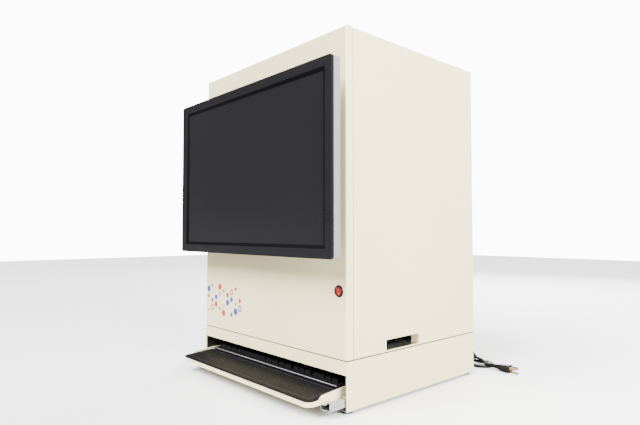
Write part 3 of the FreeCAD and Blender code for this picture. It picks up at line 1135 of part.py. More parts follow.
def make_stage():
    """Plate stage: rails on the deck, carrier with its nest and arm, screw and motor."""
    rail_ys = ("stage_rail_y", "(stage_rail_y + stage_rail_apart)")
    rails = []
    for y in rail_ys:
        rails.append(block("stage_rail", ("-rail_length / 2", "rail_length / 2"),
                           (y + " - rail_width / 2", y + " + rail_width / 2"),
                           ("deck_top", "deck_top + rail_rise")))
    for side in ("-", "+"):
        x = "(plate_x %s beam_half)" % side
        rails.append(block("cross_rail", (x + " - rail_width / 2", x + " + rail_width / 2"),
                           ("front_y + cross_rail_front", "front_y + cross_rail_front + cross_rail_length"),
                           ("beam_top", "beam_top + rail_rise")))
    node(group("rails", rails), "linear_rails")

    nest_y = ("(plate_cy - nest_width / 2)", "(plate_cy + nest_width / 2)")
    back_y = "(stage_rail_y + stage_rail_apart + block_width / 2)"
    carriage_x = ("(nest_left - arm_length - carriage_length)", "(nest_left - arm_length)")
    carrier = Piece("carrier_plate")
    carrier.pad(carrier.draw("XY_Plane", "block_top").polygon(
        ("nest_left + nest_length", nest_y[0]), ("nest_left + nest_length", nest_y[1]),
        (carriage_x[1], nest_y[1]), (carriage_x[1], back_y), (carriage_x[0], back_y),
        (carriage_x[0], nest_y[0])), "carrier_gauge")
    carrier.pad(carrier.draw("XY_Plane", "nest_z").rect(("nest_left", "nest_left + nest_length"), nest_y),
                "carrier_drop + 1")
    plate = ("plate_x - plate_length / 2", "plate_x + plate_length / 2")
    carrier.pocket(carrier.draw("XY_Plane", "nest_z + nest_ledge").rect(
        plate, ("plate_cy - plate_width / 2", "plate_cy + plate_width / 2")), "carrier_drop + carrier_gauge")
    carrier.pocket(carrier.draw("XY_Plane", "nest_z").rect(
        (plate[0] + " + nest_lip", plate[1] + " - nest_lip"),
        ("plate_cy - plate_width / 2 + nest_lip", "plate_cy + plate_width / 2 - nest_lip")), "nest_ledge")
    runners = []
    for y in rail_ys:
        for end in ("%s + block_length / 2 + 2" % carriage_x[0], "%s - block_length / 2 - 2" % carriage_x[1]):
            runners.append(saddle("runner", "(%s)" % end, y, "deck_top", "x"))
    middle_x = "((%s + %s) / 2)" % carriage_x
    nut = block("stage_nut_block", (middle_x + " - nut_width / 2", middle_x + " + nut_width / 2"),
                ("stage_y - nut_width / 2", "stage_y + nut_width / 2"), ("carrier_top", "stage_z + nut_top"))
    thread = rod("stage_nut_bore", "x", middle_x + " - nut_width", "stage_y", "stage_z",
                 "screw_radius + screw_clear", "2 * nut_width")
    node(group("carrier", [carrier] + runners + [cut("stage_nut", nut, [thread])]), "plate_carrier")

    node(rod("stage_screw", "x", "-stage_screw_left", "stage_y", "stage_z", "screw_radius",
             "stage_screw_left + stage_screw_right - bearing_thick - 2"), "stage_screw")
    node(rod("cross_screw", "y", "cross_screw_x", "front_y + beam_front + bearing_thick / 2", "cross_screw_z",
             "screw_radius", "beam_back - beam_front - bearing_thick / 2 - 1"), "cross_screw")

    motors = []
    half = "motor_side / 2"
    bearing = "(screw_radius + screw_clear)"
    plate_x = ("-stage_screw_left - motor_plate", "-stage_screw_left")
    stage_motor = Piece("stage_motor")
    stage_motor.pad(stage_motor.draw("YZ_Plane", plate_x[0] + " - motor_length").rect(
        ("stage_y - " + half, "stage_y + " + half), ("stage_z - " + half, "stage_z + " + half)), "motor_length")
    stage_motor.chamfer("motor_chamfer", along("x"))
    bracket = block("stage_motor_bracket", plate_x, ("stage_y - " + half, "stage_y + " + half),
                    ("deck_top", "stage_z + " + half))
    far_x = ("stage_screw_right - bearing_thick", "stage_screw_right")
    far = block("stage_bearing_block", far_x, ("stage_y - nut_width / 2", "stage_y + nut_width / 2"),
                ("deck_top", "stage_z + nut_top"))
    far_bore = rod("stage_bearing_bore", "x", far_x[0] + " - 1", "stage_y", "stage_z", bearing,
                   "bearing_thick / 2 + 1")
    cross_y = "(front_y + beam_back)"
    cross_motor = Piece("cross_motor")
    cross_motor.pad(cross_motor.draw("XZ_Plane", cross_y).rect(
        ("cross_screw_x - " + half, "cross_screw_x + " + half),
        ("cross_screw_z - " + half, "cross_screw_z + " + half)), "motor_length")
    cross_motor.chamfer("motor_chamfer", along("y"))
    motors = [stage_motor, bracket, cut("stage_bearing", far, [far_bore]), cross_motor]
    node(group("motors", motors), "stage_motors")


def make_stand():
    """Camera stand: four pillars, two beams and two end plates that join them."""
    pieces = []
    beams = []
    for side in ("-", "+"):
        x = "(plate_x %s beam_half)" % side
        for y in ("pillar_front", "pillar_back"):
            pieces.append(block("pillar", (x + " - pillar_half", x + " + pillar_half"),
                                ("front_y + %s - pillar_half" % y, "front_y + %s + pillar_half" % y),
                                ("deck_top", "stand_z")))
        beams.append(block("beam", (x + " - beam_width / 2", x + " + beam_width / 2"),
                           ("front_y + beam_front + bearing_thick", "front_y + beam_back - bearing_thick"),
                           ("stand_z", "beam_top")))
    end_x = ("cross_screw_x - motor_side / 2", "plate_x + beam_half + beam_width / 2")
    for y, bore_from in (("beam_front", "bearing_thick / 2"), ("beam_back - bearing_thick", "0 - spare")):
        end_y = ("front_y + " + y, "front_y + " + y + " + bearing_thick")
        pieces.append(block("end_bar", end_x, end_y, ("stand_z", "beam_top")))
        upright = block("end_upright", (end_x[0], "plate_x - beam_half + beam_width"), end_y,
                        ("beam_top", "cross_screw_z + motor_side / 2"))
        bore = rod("end_bore", "y", "cross_screw_x", "front_y + " + y + " + " + bore_from, "cross_screw_z",
                   "screw_radius + screw_clear", "bearing_thick + 2 * spare")
        pieces.append(cut("end_upright_cut", upright, [bore]))
    node(group("stand", pieces + beams), "optics_stand")


def make_camera_head():
    """Cross carriage with its bolted column, focus slide, lens, ring light, camera and focus motor."""
    half = "(cross_length / 2)"
    left = "(cross_screw_x - cross_nut_reach)"
    right = "(plate_x + beam_half + block_width / 2)"
    base = Piece("cross_plate")
    base.pad(base.draw("XY_Plane", "cross_z").rect(
        (left, right), ("plate_cy - " + half, "plate_cy + " + half)), "cross_gauge")
    base.pocket(base.draw("XY_Plane", "cross_z").circle("plate_x", "plate_cy", "lens_hole"), "cross_gauge")
    column_x = ("plate_x - column_width / 2", "plate_x + column_width / 2")
    parts = [base, block("column", column_x, ("column_y", "column_y + column_thick"),
                         ("cross_top", "cross_top + column_height"))]
    for x in (column_x[0], column_x[1] + " - column_thick / 2"):
        web = Piece("column_web")
        parts.append(web.pad(web.draw("YZ_Plane", x).polygon(
            ("column_y", "cross_top"), ("column_y", "cross_top + gusset"), ("column_y - gusset", "cross_top")),
            "column_thick / 2"))
    for side in ("-", "+"):
        x = "(plate_x %s beam_half)" % side
        for end in ("-", "+"):
            parts.append(saddle("cross_runner", x, "(plate_cy %s (cross_length - block_length) / 2)" % end,
                                "beam_top", "y"))
    nut = block("cross_nut_block", (left, "cross_screw_x + cross_nut_reach / 2 + 2"),
                ("plate_cy - nut_width / 2", "plate_cy + nut_width / 2"),
                ("cross_top", "cross_screw_z + nut_top"))
    nut_bore = rod("cross_nut_bore", "y", "cross_screw_x", "plate_cy - nut_width", "cross_screw_z",
                   "screw_radius + screw_clear", "2 * nut_width")
    parts.append(cut("cross_nut", nut, [nut_bore]))
    node(group("cross_head", parts), "cross_carriage")

    slide_y = ("column_y - dovetail - focus_thick", "column_y - dovetail")
    slide_x = ("plate_x - focus_width / 2", "plate_x + focus_width / 2")
    bracket = block("focus_block", slide_x, slide_y, ("focus_z", "focus_z + focus_height"))
    ring = rod("clamp_ring", "z", "plate_x", "plate_cy", "focus_z", "lens_radius + clamp_wall", "clamp_height")
    bridge = block("clamp_bridge", ("plate_x - clamp_bridge / 2", "plate_x + clamp_bridge / 2"),
                   ("plate_cy", slide_y[1]), ("focus_z", "focus_z + clamp_height"))
    hole = rod("clamp_hole", "z", "plate_x", "plate_cy", "focus_z - spare", "lens_radius",
               "clamp_height + 2 * spare")
    node(cut("focus_arm", fuse("focus_body", [bracket, ring, bridge]), [hole]), "focus_slide")

    lens = Piece("zoom_lens")
    outline = lens.draw("XZ_Plane", "0").polygon(
        ("0", "0"), ("lens_front", "0"), ("lens_front", "lens_neck"),
        ("lens_radius", "lens_neck + lens_slope"), ("lens_radius", "lens_height - lens_tail - lens_slope"),
        ("lens_front", "lens_height - lens_tail"), ("lens_front", "lens_height"), ("0", "lens_height"))
    lens.revolve(outline, "Z_Axis")
    stand_at(lens.body, "plate_x", "plate_cy", "lens_z")
    node(lens, "zoom_lens")

    disc = rod("light_disc", "z", "plate_x", "plate_cy", "foot_height + light_low", "light_radius", "light_height")
    bore = rod("light_bore", "z", "plate_x", "plate_cy", "foot_height + light_low - spare", "light_bore",
               "light_height + 2 * spare")
    collar = rod("light_collar", "z", "plate_x", "plate_cy", "foot_height + light_low + light_height",
                 "collar_radius", "collar_height")
    seat = rod("light_seat", "z", "plate_x", "plate_cy", "lens_z", "lens_front", "collar_height")
    node(cut("light", fuse("light_body", [disc, collar]), [bore, seat]), "ring_light")

    half_side = "camera_side / 2"
    camera = Piece("camera_body")
    camera.pad(camera.draw("XY_Plane", "lens_top").rect(
        ("plate_x - " + half_side, "plate_x + " + half_side),
        ("plate_cy - " + half_side, "plate_cy + " + half_side)), "camera_height")
    camera.fillet("camera_bend", along("z"))
    node(camera, "camera_body")

    motor = Piece("focus_motor")
    motor_half = "focus_motor_side / 2"
    motor.pad(motor.draw("XY_Plane", "cross_top + column_height").rect(
        ("plate_x - " + motor_half, "plate_x + " + motor_half),
        (slide_y[0], slide_y[0] + " + focus_motor_side")), "focus_motor_length")
    motor.chamfer("motor_chamfer / 2", along("z"))
    node(motor, "focus_motor")


make_base_shell()
make_base_floor()
make_feet()
make_seam_gasket()
make_deck()
make_posts()
make_shelf()
make_cover_wrap()
make_front_panel()
make_rear_panel()
make_slot_sleeve()
make_panel_screws()
make_monitor()
make_switch()
make_slides()
make_tray()
make_palm_rest()
make_keyboard()
make_computer()
make_fan()
make_inlet()
make_cord()
make_stage()
make_stand()
make_camera_head()

doc.recompute()

faults = []
for thing in doc.Objects:
    if any(state in ("Invalid", "Error") for state in thing.State):
        faults.append(thing.Name + " failed to compute")
for piece in NODES:
    if piece.Shape.isNull() or not piece.Shape.isValid() or not piece.Shape.Solids:
        faults.append(piece.Label + " has no valid solid")
if faults:
    raise SystemExit("; ".join(faults))

os.makedirs("parts", exist_ok=True)
for piece in NODES:
    piece.Shape.exportStep("parts/%s.step" % piece.Label)
print(len(NODES), "nodes written")
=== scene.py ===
import bmesh
import bpy
import math
from mathutils import Euler, Matrix, Vector, noise


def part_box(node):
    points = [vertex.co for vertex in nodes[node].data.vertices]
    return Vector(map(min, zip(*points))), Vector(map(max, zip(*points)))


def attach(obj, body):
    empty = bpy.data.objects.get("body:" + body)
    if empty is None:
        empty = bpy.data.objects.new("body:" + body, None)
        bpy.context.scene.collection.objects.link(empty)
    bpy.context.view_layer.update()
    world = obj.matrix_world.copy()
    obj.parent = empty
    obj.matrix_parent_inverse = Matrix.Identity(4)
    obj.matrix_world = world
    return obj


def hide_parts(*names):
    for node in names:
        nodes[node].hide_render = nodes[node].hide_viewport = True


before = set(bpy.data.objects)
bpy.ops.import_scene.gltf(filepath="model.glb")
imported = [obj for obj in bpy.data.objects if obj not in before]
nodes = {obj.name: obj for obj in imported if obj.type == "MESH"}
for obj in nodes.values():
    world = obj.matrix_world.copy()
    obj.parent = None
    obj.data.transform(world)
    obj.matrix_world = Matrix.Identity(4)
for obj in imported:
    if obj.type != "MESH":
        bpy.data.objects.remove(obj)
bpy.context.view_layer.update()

MM = 0.001


# Corners and centre of a node's box
def low(name):
    return Vector(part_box(name)[0])


def high(name):
    return Vector(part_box(name)[1])


def middle(name):
    return (low(name) + high(name)) / 2


# Planes of the cabinet, read from the solids
FRONT_Y = low("front_panel").y
REAR_Y = high("rear_panel").y
SIDE_X = high("cover_wrap").x


# Materials
WARM_WHITE = (0.85, 0.755, 0.44)
# Near black painted shade for the faces inside the drawer bay
BAY_SHADE = (0.006, 0.006, 0.0065)
COAT_ROUGHNESS = 0.42
DARK_BELOW = 0.05


class Finish:
    """A procedural material: one principled shader with helpers that feed its sockets."""

    def __init__(self, name, colour, roughness, metallic=0.0):
        self.material = bpy.data.materials.new(name)
        self.material.use_nodes = True
        self.tree = self.material.node_tree
        self.shader = self.tree.nodes["Principled BSDF"]
        self.shader.inputs["Roughness"].default_value = roughness
        self.shader.inputs["Metallic"].default_value = metallic
        self.colour = colour
        self.roughness = roughness
        self.place = self.tree.nodes.new("ShaderNodeTexCoord").outputs["Object"]
        self.shader.inputs["Base Color"].default_value = (*colour, 1)

    def link(self, output, target):
        self.tree.links.new(output, target)

    def set(self, **values):
        """Values of the shader's own sockets, named in small letters."""
        for name, value in values.items():
            self.shader.inputs[name.replace("_", " ").title().replace("Ior", "IOR")].default_value = value
        return self

    def stretched(self, stretch):
        """Object coordinates scaled along each axis."""
        mapping = self.tree.nodes.new("ShaderNodeMapping")
        mapping.inputs["Scale"].default_value = stretch
        self.link(self.place, mapping.inputs["Vector"])
        return mapping.outputs["Vector"]

    def noise(self, scale, detail=3.0, stretch=(1, 1, 1)):
        node = self.tree.nodes.new("ShaderNodeTexNoise")
        node.inputs["Scale"].default_value = scale
        node.inputs["Detail"].default_value = detail
        self.link(self.stretched(stretch), node.inputs["Vector"])
        return node.outputs["Fac"]

    def cells(self, scale, stretch=(1, 1, 1)):
        node = self.tree.nodes.new("ShaderNodeTexVoronoi")
        node.inputs["Scale"].default_value = scale
        self.link(self.stretched(stretch), node.inputs["Vector"])
        return node.outputs["Distance"]

    def spread(self, source, low_value, high_value, from_low=0.3, from_high=0.7):
        """Map a range of a texture or coordinate onto another, clamped."""
        node = self.tree.nodes.new("ShaderNodeMapRange")
        for name, value in (("From Min", from_low), ("From Max", from_high),
                            ("To Min", low_value), ("To Max", high_value)):
            node.inputs[name].default_value = value
        self.link(source, node.inputs["Value"])
        return node.outputs["Result"]

    def maths(self, operation, *sources):
        node = self.tree.nodes.new("ShaderNodeMath")
        node.operation = operation
        for index, source in enumerate(sources):
            self.link(source, node.inputs[index])
        return node.outputs[0]

    def blend(self, factor, first, second):
        """Mix two colours, or the colours of two sockets, into the base colour."""
        mix = self.tree.nodes.new("ShaderNodeMix")
        mix.data_type = "RGBA"
        for name, source in (("A", first), ("B", second)):
            if isinstance(source, tuple):
                mix.inputs[name].default_value = (*source, 1)
            else:
                self.link(source, mix.inputs[name])
        self.link(factor, mix.inputs["Factor"])
        self.blended = mix.outputs["Result"]
        self.link(self.blended, self.shader.inputs["Base Color"])
        return self

    def mottle(self, source, other, amount=1.0):
        """Blend the base colour towards another by a texture."""
        return self.blend(self.spread(source, 0.0, amount), self.colour, other)

    def painted_crease_shade(self, distance, painted_shade, strength):
        """Painted shade: darken the colour where surfaces meet, by their ambient occlusion."""
        shade = self.tree.nodes.new("ShaderNodeAmbientOcclusion")
        shade.inputs["Distance"].default_value = distance
        shade.samples = 4
        return self.blend(self.spread(shade.outputs["AO"], 1 - strength, 1.0, 0.2, 0.9), painted_shade, self.blended)

    def rough(self, source, spread):
        self.link(self.spread(source, self.roughness - spread, self.roughness + spread),
                  self.shader.inputs["Roughness"])
        return self

    def bump(self, source, height, strength=1.0):
        """Raise the surface by a texture; height is in metres."""
        node = self.tree.nodes.new("ShaderNodeBump")
        node.inputs["Strength"].default_value = strength
        node.inputs["Distance"].default_value = height
        self.link(source, node.inputs["Height"])
        self.link(node.outputs["Normal"], self.shader.inputs["Normal"])
        return self


def darker(colour, share):
    return tuple(c * share for c in colour)


def baked_coat(name, colour, roughness):
    """Baked coat: faint orange peel, faint yellowing, painted shade in the corners."""
    coat = Finish(name, colour, roughness)
    coat.mottle(coat.noise(6, 5), (colour[0] * 0.985, colour[1] * 0.97, colour[2] * 0.93))
    # Painted shade: the colour turns darker where surfaces meet
    coat.painted_crease_shade(0.012, darker(colour, 0.72), 0.5)
    coat.rough(coat.noise(420, 3), 0.06)
    return coat.bump(coat.noise(900, 2), 0.00005)


def powder_coat(name, colour, roughness=COAT_ROUGHNESS):
    return baked_coat(name, colour, roughness).material


def plinth_coat_and_bay_shade():
    """The baked coat outside, near black painted shade on the faces inside the drawer bay."""
    coat = baked_coat("plinth_coat_and_bay_shade", WARM_WHITE, COAT_ROUGHNESS)
    # Painted shade: a mask of the faces inside the drawer bay, which turn near black
    axes = coat.tree.nodes.new("ShaderNodeSeparateXYZ")
    coat.link(coat.place, axes.inputs["Vector"])
    off_centre = coat.maths("ABSOLUTE", axes.outputs["X"])
    behind_front = coat.spread(axes.outputs["Y"], 0.0, 1.0, FRONT_Y + 0.0021, FRONT_Y + 0.0024)
    within_sides = coat.spread(off_centre, 1.0, 0.0, SIDE_X - 0.0018, SIDE_X - 0.0016)
    before_rear = coat.spread(axes.outputs["Y"], 1.0, 0.0, REAR_Y - 0.0018, REAR_Y - 0.0016)
    inside = coat.maths("MULTIPLY", coat.maths("MULTIPLY", behind_front, within_sides), before_rear)
    return coat.blend(inside, coat.blended, BAY_SHADE).material


def moulded(name, colour, roughness, grain=2600, height=0.00004, mottle=0.8):
    """Moulded plastic with a fine spark-eroded grain; dark ones gloss less."""
    plastic = Finish(name, colour, roughness)
    plastic.set(specular_ior_level=0.16 if max(colour) < DARK_BELOW else 0.45)
    plastic.mottle(plastic.noise(35, 4), darker(colour, mottle))
    plastic.rough(plastic.noise(300, 2), 0.05)
    return plastic.bump(plastic.cells(grain), height).material


def brushed(name, colour, roughness, along, scale=900):
    """Sheet or bar metal with fine lines along one direction."""
    metal = Finish(name, colour, roughness, metallic=1.0)
    lines = metal.noise(scale, 4, along)
    metal.mottle(metal.noise(14, 3), darker(colour, 0.82))
    metal.rough(lines, 0.1)
    return metal.bump(lines, 0.00002, 0.6).material


def zinc(name, colour, roughness=0.32):
    """Zinc plate: pale spangle, a few darker clouds."""
    plate = Finish(name, colour, roughness, metallic=1.0)
    plate.mottle(plate.cells(90), darker(colour, 0.86))
    plate.rough(plate.noise(70, 3), 0.08)
    return plate.bump(plate.noise(700, 2), 0.00001).material


paint = powder_coat("warm_white_coat", WARM_WHITE)
tray_paint = powder_coat("tray_coat", (0.86, 0.775, 0.49), 0.4)
steel_sheet = zinc("zinc_sheet", (0.60, 0.60, 0.59))
slide_steel = zinc("slide_zinc", (0.72, 0.72, 0.70), 0.28)
feet_rubber = moulded("foot_rubber", (0.010, 0.010, 0.010), 0.75, 1500)
# Dark foam in the seam gap: painted shade that makes the groove between base and cabinet read dark
seam_shade_foam = moulded("seam_foam_shade", (0.014, 0.010, 0.007), 0.95, 1200, 0.0002)
bezel_plastic = moulded("bezel_plastic", (0.0064, 0.0061, 0.0076), 0.44, 2400)
silver_plastic = moulded("silver_casing", (0.24, 0.235, 0.24), 0.36, 3200, 0.00002, 0.9)
black_plastic = moulded("black_moulding", (0.006, 0.006, 0.007), 0.5)
keyboard_plastic = moulded("keyboard_moulding", (0.0045, 0.0045, 0.005), 0.5, 1800)
key_plastic = moulded("key_moulding", (0.005, 0.005, 0.0058), 0.5, 2600)
switch_plastic = moulded("switch_moulding", (0.004, 0.004, 0.004), 0.25, 3000, 0.00001)
fan_plastic = moulded("fan_moulding", (0.007, 0.007, 0.0075), 0.48)
computer_coat = powder_coat("computer_coat", (0.022, 0.022, 0.024), 0.55)
anodised = brushed("clear_anodised", (0.66, 0.66, 0.67), 0.36, (1, 40, 1))
black_anodised = brushed("black_anodised", (0.025, 0.025, 0.028), 0.42, (1, 1, 30))
rail_steel = brushed("rail_steel", (0.58, 0.58, 0.58), 0.22, (60, 60, 1))
bright_wire = brushed("bright_wire", (0.72, 0.72, 0.73), 0.16, (1, 1, 20), 400)
brass = brushed("contact_brass", (0.55, 0.44, 0.20), 0.3, (40, 1, 1))
cord_jacket = moulded("cord_jacket", (0.006, 0.006, 0.0065), 0.38, 1200, 0.00002)
light_housing = moulded("light_housing", (0.72, 0.72, 0.70), 0.5)


def screen_panel():
    """Dark anti-glare panel: a haze of very fine grain over near black."""
    panel = Finish("anti_glare_panel", (0.0082, 0.0080, 0.0093), 0.34)
    panel.mottle(panel.noise(3, 2), (0.0092, 0.0090, 0.0106))
    panel.rough(panel.noise(1500, 2), 0.04)
    panel.set(specular_ior_level=0.14)
    return panel.bump(panel.noise(5200, 1), 0.000012).material


def red_lens():
    """Translucent red rocker with a slight depth of colour."""
    lens = Finish("red_lens", (0.30, 0.008, 0.004), 0.3)
    lens.mottle(lens.noise(120, 2), (0.20, 0.005, 0.003))
    lens.set(subsurface_weight=0.2, specular_ior_level=0.25)
    lens.shader.inputs["Subsurface Radius"].default_value = (0.004, 0.0006, 0.0004)
    return lens.bump(lens.noise(800, 1), 0.00001).material


def leatherette():
    """Soft black cover with a fine pebble grain."""
    cover = Finish("black_leatherette", (0.0026, 0.0026, 0.0031), 0.55)
    cover.mottle(cover.noise(18, 4), (0.0038, 0.0038, 0.0044))
    cover.rough(cover.noise(160, 3), 0.07)
    cover.set(specular_ior_level=0.10)
    return cover.bump(cover.cells(1150), 0.00016, 0.6).material


def drive_screw():
    """Ground screw whose thread shows as fine rings."""
    thread = Finish("threaded_rod", (0.55, 0.55, 0.56), 0.24, metallic=1.0)
    wave = thread.tree.nodes.new("ShaderNodeTexWave")
    wave.inputs["Scale"].default_value = 120
    wave.inputs["Distortion"].default_value = 0.0
    thread.link(thread.place, wave.inputs["Vector"])
    thread.mottle(wave.outputs["Fac"], (0.22, 0.22, 0.23))
    thread.rough(wave.outputs["Fac"], 0.08)
    return thread.bump(wave.outputs["Fac"], 0.0004).material


FINISHES = {
    plinth_coat_and_bay_shade(): ["base_shell"],
    paint: ["cover_wrap", "front_panel", "rear_panel", "plate_slot_frame"],
    tray_paint: ["drawer_tray"],
    steel_sheet: ["base_floor", "deck_plate", "chassis_posts", "computer_shelf", "panel_screws"],
    slide_steel: ["slide_%s_%s" % (part, side) for part in ("outer", "middle", "inner")
                  for side in ("left", "right")],
    feet_rubber: ["base_feet"],
    seam_shade_foam: ["seam_gasket"],
    bezel_plastic: ["monitor_bezel", "monitor_power_button", "monitor_menu_button"],
    silver_plastic: ["monitor_case"],
    screen_panel(): ["monitor_screen"],
    black_plastic: ["vesa_plate", "power_inlet"],
    switch_plastic: ["switch_housing"],
    red_lens(): ["power_rocker"],
    keyboard_plastic: ["keyboard_case"],
    key_plastic: ["key_row_" + row for row in ("space", "shift", "home", "tab", "number", "function")],
    computer_coat: ["computer_case"],
    fan_plastic: ["fan_frame", "fan_rotor"],
    anodised: ["power_supply", "optics_stand", "plate_carrier", "cross_carriage"],
    black_anodised: ["stage_motors", "focus_motor", "focus_slide", "camera_body", "zoom_lens"],
    rail_steel: ["linear_rails"],
    bright_wire: ["fan_guard"],
    drive_screw(): ["stage_screw", "cross_screw"],
    light_housing: ["ring_light"],
    brass: ["plug_blades"],
    cord_jacket: ["cord_connector", "mains_plug", "cord_tube", "cord_hank"],
    moulded("tie_strap", (0.12, 0.12, 0.12), 0.6): ["cord_tie"],
}

for material, names in FINISHES.items():
    for name in names:
        for place in nodes[name].material_slots:
            place.material = material


# Camera, floor and light
PHOTO_LENS = 28.89
CAMERA_AT = Vector((0.9369, FRONT_Y - 0.6777, 0.338))
CAMERA_YAW = math.radians(-48.03)
CAMERA_PITCH = math.radians(2.21)


def link_object(name, data):
    """A new object in the scene."""
    holder = bpy.data.objects.new(name, data)
    bpy.context.scene.collection.objects.link(holder)
    return holder


def set_camera():
    """The photograph's own viewpoint, near the front right corner."""
    data = bpy.data.cameras.new("photo_camera")
    data.lens = PHOTO_LENS
    data.sensor_width = 36
    camera = link_object("photo_camera", data)
    camera.location = CAMERA_AT
    camera.rotation_euler = Euler((math.radians(90) + CAMERA_PITCH, 0, -CAMERA_YAW), "XYZ")
    bpy.context.scene.camera = camera


# Each lamp: name, kind, place, size in metres or angle in radians, power
LAMPS = (
    ("key_light", "AREA", (2.3, -0.2, 1.3), 1.6, 260),
    ("front_light", "SUN", (-0.1, -1.5, 2.0), 0.7, 13),
    ("rear_light", "AREA", (-0.6, 2.4, 1.8), 1.8, 200),
)
LAMPS_AIM = Vector((0, 0, 0.35))
SKY_STRENGTH = 0.22
BACKDROP_STRENGTH = 12
FLOOR_REACH = 6.0
FLOOR_BOUNCE = (0.34, 0.34, 0.34)


def set_light():
    """A dim white sky that looks bright to the camera, and three soft lamps."""
    world = bpy.data.worlds.new("studio")
    world.use_nodes = True
    tree = world.node_tree
    sky = tree.nodes["Background"]
    sky.inputs["Color"].default_value = (1.0, 1.0, 1.0, 1)
    sky.inputs["Strength"].default_value = SKY_STRENGTH
    backdrop = tree.nodes.new("ShaderNodeBackground")
    backdrop.inputs["Color"].default_value = (1.0, 1.0, 1.0, 1)
    backdrop.inputs["Strength"].default_value = BACKDROP_STRENGTH
    path = tree.nodes.new("ShaderNodeLightPath")
    mix = tree.nodes.new("ShaderNodeMixShader")
    tree.links.new(path.outputs["Is Camera Ray"], mix.inputs[0])
    tree.links.new(sky.outputs[0], mix.inputs[1])
    tree.links.new(backdrop.outputs[0], mix.inputs[2])
    tree.links.new(mix.outputs[0], tree.nodes["World Output"].inputs["Surface"])
    bpy.context.scene.world = world
    for name, kind, place, size, power in LAMPS:
        data = bpy.data.lights.new(name, kind)
        if kind == "SUN":
            data.angle = size
        else:
            data.size = size
        data.energy = power
        light = link_object(name, data)
        light.location = place
        light.rotation_euler = (LAMPS_AIM - Vector(place)).to_track_quat("-Z", "Y").to_euler()


def make_floor():
    """A pale cloth that returns less light than it shows, so that shadows stay deep."""
    mesh = bpy.data.meshes.new("floor")
    corners = [(x * FLOOR_REACH, y * FLOOR_REACH, 0) for x, y in ((-1, -1), (1, -1), (1, 1), (-1, 1))]
    mesh.from_pydata(corners, [], [(0, 1, 2, 3)])
    floor = link_object("floor", mesh)
    cloth = Finish("pale_floor", (0.86, 0.865, 0.875), 0.8)
    cloth.mottle(cloth.noise(2, 3), (0.84, 0.845, 0.86))
    path = cloth.tree.nodes.new("ShaderNodeLightPath")
    cloth.blend(path.outputs["Is Camera Ray"], FLOOR_BOUNCE, cloth.blended)
    mesh.materials.append(cloth.material)


set_camera()
set_light()
make_floor()

# Mesh helpers
def thing(name, mesh, material, body="cabinet", smooth=True):
    """Put a mesh or curve in the scene as a piece that rides on a body."""
    piece = link_object(name, mesh)
    mesh.materials.append(material)
    if smooth and hasattr(mesh, "polygons"):
        mesh.polygons.foreach_set("use_smooth", [True] * len(mesh.polygons))
    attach(piece, body)
    return piece


def shape(name, build, material, body="cabinet", smooth=False, bevel=0.0, segments=2):
    """A mesh made by a builder that fills an empty bmesh."""
    work = bmesh.new()
    build(work)
    bmesh.ops.recalc_face_normals(work, faces=work.faces)
    mesh = bpy.data.meshes.new(name)
    work.to_mesh(mesh)
    work.free()
    piece = thing(name, mesh, material, body, smooth)
    if bevel:
        edge = piece.modifiers.new("soft_edges", "BEVEL")
        edge.width = bevel
        edge.segments = segments
        edge.limit_method = "ANGLE"
    return piece


def bridge(work, near, far, closed=True):
    """Faces between two rows of vertices."""
    count = len(near)
    for step in range(count if closed else count - 1):
        after = (step + 1) % count
        work.faces.new((near[step], near[after], far[after], far[step]))


def skin(work, rings, ends=True):
    """Join rings one to the next, with a face over the first and the last."""
    for near, far in zip(rings, rings[1:]):
        bridge(work, near, far)
    if ends:
        work.faces.new(rings[0])
        work.faces.new(rings[-1])


def add_block(work, start, end):
    """A box between two corners."""
    a, b = Vector(start), Vector(end)
    matrix = Matrix.Translation((a + b) / 2) @ Matrix.Diagonal((*(b - a), 1))
    return bmesh.ops.create_cube(work, size=1, matrix=matrix)["verts"]


def add_cross(work, spot, arm, half_width, near, far):
    """The cross recess of a screw head, between two depths along y."""
    for along, across in ((arm, half_width), (half_width, arm)):
        add_block(work, spot + Vector((-along, near, -across)), spot + Vector((along, far, across)))


def add_lathe(work, outline, centre, axis, steps=48):
    """Turn an outline of (radius, distance along the axis) pairs round an axis through centre."""
    axis = Vector(axis).normalized()
    side = axis.orthogonal().normalized()
    up = axis.cross(side)
    rings = []
    for radius, reach in outline:
        ring = []
        for step in range(steps):
            turn = 2 * math.pi * step / steps
            ring.append(work.verts.new(Vector(centre) + axis * reach
                                       + (side * math.cos(turn) + up * math.sin(turn)) * radius))
        rings.append(ring)
    skin(work, rings)


def add_tube(work, path, radius, steps=10, closed=False):
    """A round wire along points."""
    points = [Vector(p) for p in path]
    count = len(points)
    rings = []
    side = None
    for index, point in enumerate(points):
        before = points[index - 1] if index or closed else point
        after = points[(index + 1) % count] if index < count - 1 or closed else point
        way = (after - before).normalized()
        side = way.orthogonal() if side is None else side - way * side.dot(way)
        side.normalize()
        up = way.cross(side)
        turns = [2 * math.pi * step / steps for step in range(steps)]
        rings.append([work.verts.new(point + (side * math.cos(turn) + up * math.sin(turn)) * radius)
                      for turn in turns])
    skin(work, rings, ends=not closed)
    if closed:
        bridge(work, rings[-1], rings[0])


# Mains cord: its radius, where it leaves the connector, the hank's folds and layers
CORD = 3.25 * MM
EXIT = Vector((168, 308.3, 136)) * MM
HANK_X1 = 226.75 * MM
HANK_X0 = 104.75 * MM
SHORT_TURN = 45 * MM
HANK_MIDDLE = 332.05 * MM
PLUG_LINE = middle("mains_plug").y
INNER = 20 * MM
OUTER = 26.5 * MM
BETWEEN = 23.25 * MM
FIRST_LAYER = CORD
SECOND_LAYER = 3 * CORD
RELIEF_LENGTH = 28 * MM

# The fall from the connector to the table, point by point as in the model's route
FALL = [
    (168, 308.3, 136), (168, 329.3, 136), (168.5, 351.3, 126), (169.5, 364.3, 104), (171, 365.8, 77),
    (173.5, 365.55, 51), (178.5, 365.05, 28), (192, 364.75, 10.5), (212, 364.55, 3.25),
    (231, 364.55, 3.25),
]

